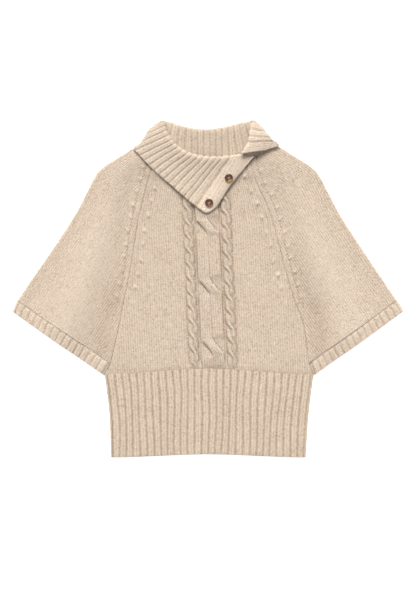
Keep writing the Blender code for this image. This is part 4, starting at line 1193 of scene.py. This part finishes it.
def make_collar(context):
    knit, relief = context.scene.sweater_knit, context.scene.sweater_relief
    rise = relief.collar_rise / MM
    levels = np.concatenate([
        np.linspace(0.0, 0.38, 22)[:-1], np.linspace(0.38, 0.56, 26)[:-1],
        np.linspace(0.56, 1.0, 48),
    ])
    places = np.concatenate([
        np.linspace(0.0, BAND_RIBS, 16)[:-1], np.linspace(BAND_RIBS, RIBS_END, 35 * 12 + 1),
        np.linspace(RIBS_END, STRIP_RIBS, 10)[1:],
    ])
    mid = collar_mid(places, levels)
    normal = grid_normals(mid)
    ribbed = (places >= BAND_RIBS) & (places <= RIBS_END)
    profile = np.where(ribbed, rib_profile(places), 0.0)
    lifted = np.where(ribbed, rise * profile - 0.2, BAND_RISE)
    stand_seen = smooth((places - 19.5) / 1.5) * (1.0 - smooth((places - 33.0) / 1.5))
    flap_hidden = smooth((places - 17.6) / 1.8) * (1.0 - smooth((places - 33.6) / 1.6))
    stand_part = 1.0 - smooth((levels[:, None] - 0.40) / 0.08)
    share = stand_part * stand_seen[None] + (1.0 - stand_part) * (1.0 - flap_hidden[None])
    free_edge = 1.0 - 0.35 * np.exp(-(((1.0 - levels) / 0.012) ** 2))[:, None]
    outer = mid + normal * (COLLAR_WALL / 2 + lifted[None] * share * free_edge)[..., None]
    outer[..., 2] = np.maximum(outer[..., 2], 0.0)
    plain_at = np.concatenate([
        np.arange(0.0, 16.0, 1.0), np.arange(16.0, 22.0, 0.5), np.arange(22.0, 32.0, 1.0),
        np.arange(32.0, 39.5, 0.5), [STRIP_RIBS],
    ])
    plain = collar_mid(plain_at, evenly(31))
    inner = plain - grid_normals(plain) * COLLAR_WALL / 2
    height = run_length(mid[:, len(places) // 3])
    stitches = (
        np.repeat(rib_stitches(places)[None], len(levels), axis=0),
        np.repeat(height[:, None], len(places), axis=1) / (knit.course / MM),
    )
    # Painted shade in the rib grooves, and painted light that makes the flap, and a little the stand,
    # paler
    groove = np.where(ribbed, groove_shade(places, 0.080), 0.0)[None] * share
    shade = groove - 0.30 * (1.0 - stand_part) - 0.12 * stand_part
    piece = shell("collar_rib", outer, inner, stitches, (0.6 * groove, shade))
    return sheet(piece, "collar")


# ---------------------------------------------------------------- buttons


def deselect():
    for thing in bpy.context.selected_objects:
        thing.select_set(False)


def band_point(x, y):
    """A point of the collar's end band over x, y, and the face's normal there."""
    mid = collar_mid(np.linspace(0.0, 4.0, 81), np.linspace(0.56, 1.0, 121))
    normal = grid_normals(mid)
    face = mid + normal * (COLLAR_WALL / 2 + BAND_RISE)
    away = (face[..., 0] - x) ** 2 + (face[..., 1] - y) ** 2
    k = np.unravel_index(np.argmin(away), away.shape)
    return face[k], normal[k]


def edit_faces(piece, inside):
    """Goes into edit mode with the faces picked whose centre and normal pass the test."""
    deselect()
    piece.select_set(True)
    bpy.context.view_layer.objects.active = piece
    bpy.ops.object.mode_set(mode="EDIT")
    bpy.ops.mesh.select_mode(type="FACE")
    bpy.ops.mesh.select_all(action="DESELECT")
    work = bmesh.from_edit_mesh(piece.data)
    for face in work.faces:
        face.select = inside(face.calc_center_median(), face.normal)
    bmesh.update_edit_mesh(piece.data)


def make_disc(name, radius, thick):
    """A four-hole button on the origin: a cylinder with a bevelled rim and a dished middle."""
    deselect()
    bpy.ops.mesh.primitive_cylinder_add(
        vertices=48, radius=radius, depth=thick, location=(0.0, 0.0, thick / 2)
    )
    disc = bpy.context.active_object
    disc.name = name
    bpy.ops.object.transform_apply(location=True)
    edit_faces(disc, lambda at, normal: normal.z > 0.9)
    bpy.ops.mesh.inset(thickness=radius * 0.24, depth=0.0)
    bpy.ops.mesh.inset(thickness=radius * 0.12, depth=-thick * 0.38)
    bpy.ops.object.mode_set(mode="OBJECT")
    edit_faces(disc, lambda at, normal: abs(normal.z) < 0.1)
    bpy.ops.mesh.region_to_loop()
    bpy.ops.mesh.bevel(offset=thick * 0.36, segments=5, profile=0.5, affect="EDGES")
    bpy.ops.object.mode_set(mode="OBJECT")
    for sx, sy in ((1, 1), (-1, 1), (-1, -1), (1, -1)):
        deselect()
        spot = Vector((sx, sy, 0.0)).normalized() * HOLE_AT
        bpy.ops.mesh.primitive_cylinder_add(
            vertices=20, radius=HOLE_RADIUS, depth=4 * thick, location=spot
        )
        drill = bpy.context.active_object
        cut = disc.modifiers.new("Hole", "BOOLEAN")
        cut.operation = "DIFFERENCE"
        cut.solver = "EXACT"
        cut.object = drill
        deselect()
        bpy.context.view_layer.objects.active = disc
        disc.select_set(True)
        bpy.ops.object.modifier_apply(modifier="Hole")
        bpy.data.objects.remove(drill)
    return disc


def make_thread(name, start, end, height):
    """One strand of sewing thread, arched from hole to hole."""
    curve = bpy.data.curves.new(name, "CURVE")
    curve.dimensions = "3D"
    curve.bevel_depth = THREAD_RADIUS
    curve.bevel_resolution = 2
    curve.use_fill_caps = True
    spline = curve.splines.new("POLY")
    count = 13
    spline.points.add(count - 1)
    for i in range(count):
        s = i / (count - 1)
        at = start + (end - start) * s
        arch = 0.00045 * math.sin(math.pi * s) ** 0.5 - 0.0010 * (s in (0.0, 1.0))
        spline.points[i].co = (at.x, at.y, height + arch, 1.0)
    yarn = bpy.data.objects.new(name, curve)
    bpy.context.scene.collection.objects.link(yarn)
    deselect()
    yarn.select_set(True)
    bpy.context.view_layer.objects.active = yarn
    bpy.ops.object.convert(target="MESH")
    return bpy.context.active_object


def make_button(context, name, x, y, z, lean, horn, thread):
    """A dished four-hole button with its sewing thread, on the cloth."""
    sizes = context.scene.sweater_buttons
    if lean:
        up, at = Vector(lean).normalized(), Vector((x, y, z))
    else:
        point, normal = band_point(x, y)
        up = Vector(normal)
        at = Vector(point) + up * BUTTON_GAP
    disc = make_disc(name + "_disc", sizes.radius, sizes.thick)
    place = Matrix.Translation(at * MM) @ up.to_track_quat("Z", "Y").to_matrix().to_4x4()
    disc.data.transform(place)
    # clear: a painted glow of light, highest on the lower side of the button
    clear = disc.data.attributes.new("clear", "FLOAT", "POINT")
    for vertex, held in zip(disc.data.vertices, clear.data):
        off = vertex.co - at * MM
        held.value = 0.5 - 0.5 * (off.y - 0.25 * off.x) / sizes.radius
    disc.data.materials.append(horn)
    deselect()
    disc.select_set(True)
    bpy.context.view_layer.objects.active = disc
    bpy.ops.object.shade_smooth_by_angle(angle=math.radians(40))
    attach(disc, "root")
    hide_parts(name)

    reach = HOLE_AT * math.sqrt(0.5)
    for side in (-1, 1):
        for strand in (-1, 1):
            start = Vector((side * reach + strand * THREAD_RADIUS * 0.8, -reach))
            end = Vector((start.x, reach))
            label = f"{name}_thread_{side + 1}{strand + 1}"
            yarn = make_thread(label, start, end, 0.62 * sizes.thick)
            yarn.data.transform(place)
            yarn.data.materials.clear()
            yarn.data.materials.append(thread)
            yarn.data.shade_smooth()
            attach(yarn, "root")


# ---------------------------------------------------------------- operators


class SWEATER_OT_front(bpy.types.Operator):
    """Knit the front panel with its cables"""

    bl_idname = "sweater.front"
    bl_label = "Front panel"

    def execute(self, context):
        make_front(context)
        return {"FINISHED"}


class SWEATER_OT_back(bpy.types.Operator):
    """Knit the back panel"""

    bl_idname = "sweater.back"
    bl_label = "Back panel"

    def execute(self, context):
        make_back(context)
        return {"FINISHED"}


class SWEATER_OT_sleeves(bpy.types.Operator):
    """Knit the two raglan sleeves"""

    bl_idname = "sweater.sleeves"
    bl_label = "Sleeves"

    def execute(self, context):
        make_sleeve(context, "sleeve_knit_right", SLEEVE_RIGHT, -1, "sleeve_right")
        make_sleeve(context, "sleeve_knit_left", SLEEVE_LEFT, 1, "sleeve_left")
        return {"FINISHED"}


class SWEATER_OT_ribs(bpy.types.Operator):
    """Knit the waistband and the cuffs"""

    bl_idname = "sweater.ribs"
    bl_label = "Waistband and cuffs"

    def execute(self, context):
        make_waistband(context)
        make_cuff(context, "cuff_rib_right", SLEEVE_RIGHT, CUFF_RIGHT, -1, "cuff_right")
        make_cuff(context, "cuff_rib_left", SLEEVE_LEFT, CUFF_LEFT, 1, "cuff_left")
        return {"FINISHED"}


class SWEATER_OT_collar(bpy.types.Operator):
    """Knit the split collar"""

    bl_idname = "sweater.collar"
    bl_label = "Collar"

    def execute(self, context):
        make_collar(context)
        return {"FINISHED"}


class SWEATER_OT_buttons(bpy.types.Operator):
    """Turn and sew on the buttons"""

    bl_idname = "sweater.buttons"
    bl_label = "Buttons"

    def execute(self, context):
        sizes = context.scene.sweater_buttons
        horn, thread = horn_material(sizes), thread_material(sizes)
        for name, x, y, z, lean in BUTTONS:
            make_button(context, name, x, y, z, lean, horn, thread)
        return {"FINISHED"}


class SWEATER_OT_stage(bpy.types.Operator):
    """Set up the floor, the soft light and the camera straight above"""

    bl_idname = "sweater.stage"
    bl_label = "Stage"

    def execute(self, context):
        stage = context.scene.sweater_stage
        scene = context.scene
        deselect()
        bpy.ops.mesh.primitive_plane_add(size=12.0, location=(0.0, 0.0, -0.0004))
        floor = context.active_object
        floor.name = "floor"
        made, tree, shader = new_material("pale_floor", {
            "Roughness": 0.9, "Emission Color": WHITE, "Emission Strength": stage.glow,
        })
        place = object_place(tree)
        grain = noise(tree, place, 30.0, 2.0)
        low = tuple(c * 0.985 for c in stage.floor)
        tone = grain.ramp(0.3, 0.7).mix(low, tuple(stage.floor))
        tone.into(shader, "Base Color")
        floor.data.materials.append(made)

        world = bpy.data.worlds.new("studio")
        world.use_nodes = True
        background = world.node_tree.nodes["Background"]
        background.inputs["Color"].default_value = WHITE
        background.inputs["Strength"].default_value = stage.fill
        scene.world = world

        for name, spot, spread, strength, colour in (
            ("key", (-0.06, 1.0, 0.88), 34.0, stage.key_power, (1.0, 0.99, 0.975)),
            ("side", (-1.0, -0.15, 1.0), 50.0, stage.key_power * 0.05, (0.97, 0.985, 1.0)),
        ):
            lamp = bpy.data.lights.new(name, "SUN")
            lamp.angle = math.radians(spread)
            lamp.energy = strength
            lamp.color = colour
            thing = bpy.data.objects.new(name, lamp)
            thing.location = spot
            thing.rotation_euler = Vector(spot).to_track_quat("Z", "Y").to_euler()
            scene.collection.objects.link(thing)

        lens = bpy.data.cameras.new("camera")
        lens.type = "PERSP"
        lens.sensor_width = 36.0
        lens.lens = 36.0 * stage.camera_up / stage.view_height
        lens.clip_end = 50.0
        camera = bpy.data.objects.new("camera", lens)
        camera.location = (0.0, stage.view_y, stage.camera_up)
        camera.rotation_euler = (0.0, 0.0, 0.0)
        scene.collection.objects.link(camera)
        scene.camera = camera
        scene.view_settings.view_transform = "Standard"
        return {"FINISHED"}


class SWEATER_PT_panel(bpy.types.Panel):
    """Lists the sweater's sizes, colours and pieces"""

    bl_idname = "SWEATER_PT_panel"
    bl_label = "Sweater"
    bl_space_type = "VIEW_3D"
    bl_region_type = "UI"
    bl_category = "Sweater"

    def draw(self, context):
        layout = self.layout
        for settings in GROUPS:
            group = getattr(context.scene, settings)
            box = layout.box()
            for key in group.__annotations__:
                box.prop(group, key)
        for operator in STEPS:
            layout.operator(operator.bl_idname)


GROUPS = {
    "sweater_knit": KnitSettings,
    "sweater_relief": ReliefSettings,
    "sweater_buttons": ButtonSettings,
    "sweater_stage": StageSettings,
}
STEPS = (
    SWEATER_OT_back, SWEATER_OT_front, SWEATER_OT_sleeves, SWEATER_OT_ribs, SWEATER_OT_collar,
    SWEATER_OT_buttons, SWEATER_OT_stage,
)


CLASSES = (*GROUPS.values(), *STEPS, SWEATER_PT_panel)


def register():
    for kind in CLASSES:
        bpy.utils.register_class(kind)
    for name, group in GROUPS.items():
        setattr(bpy.types.Scene, name, PointerProperty(type=group))


def unregister():
    for name in GROUPS:
        delattr(bpy.types.Scene, name)
    for kind in reversed(CLASSES):
        bpy.utils.unregister_class(kind)


def main():
    register()
    bpy.ops.sweater.back()
    bpy.ops.sweater.front()
    bpy.ops.sweater.sleeves()
    bpy.ops.sweater.ribs()
    bpy.ops.sweater.collar()
    bpy.ops.sweater.buttons()
    bpy.ops.sweater.stage()


if __name__ == "__main__":
    main()
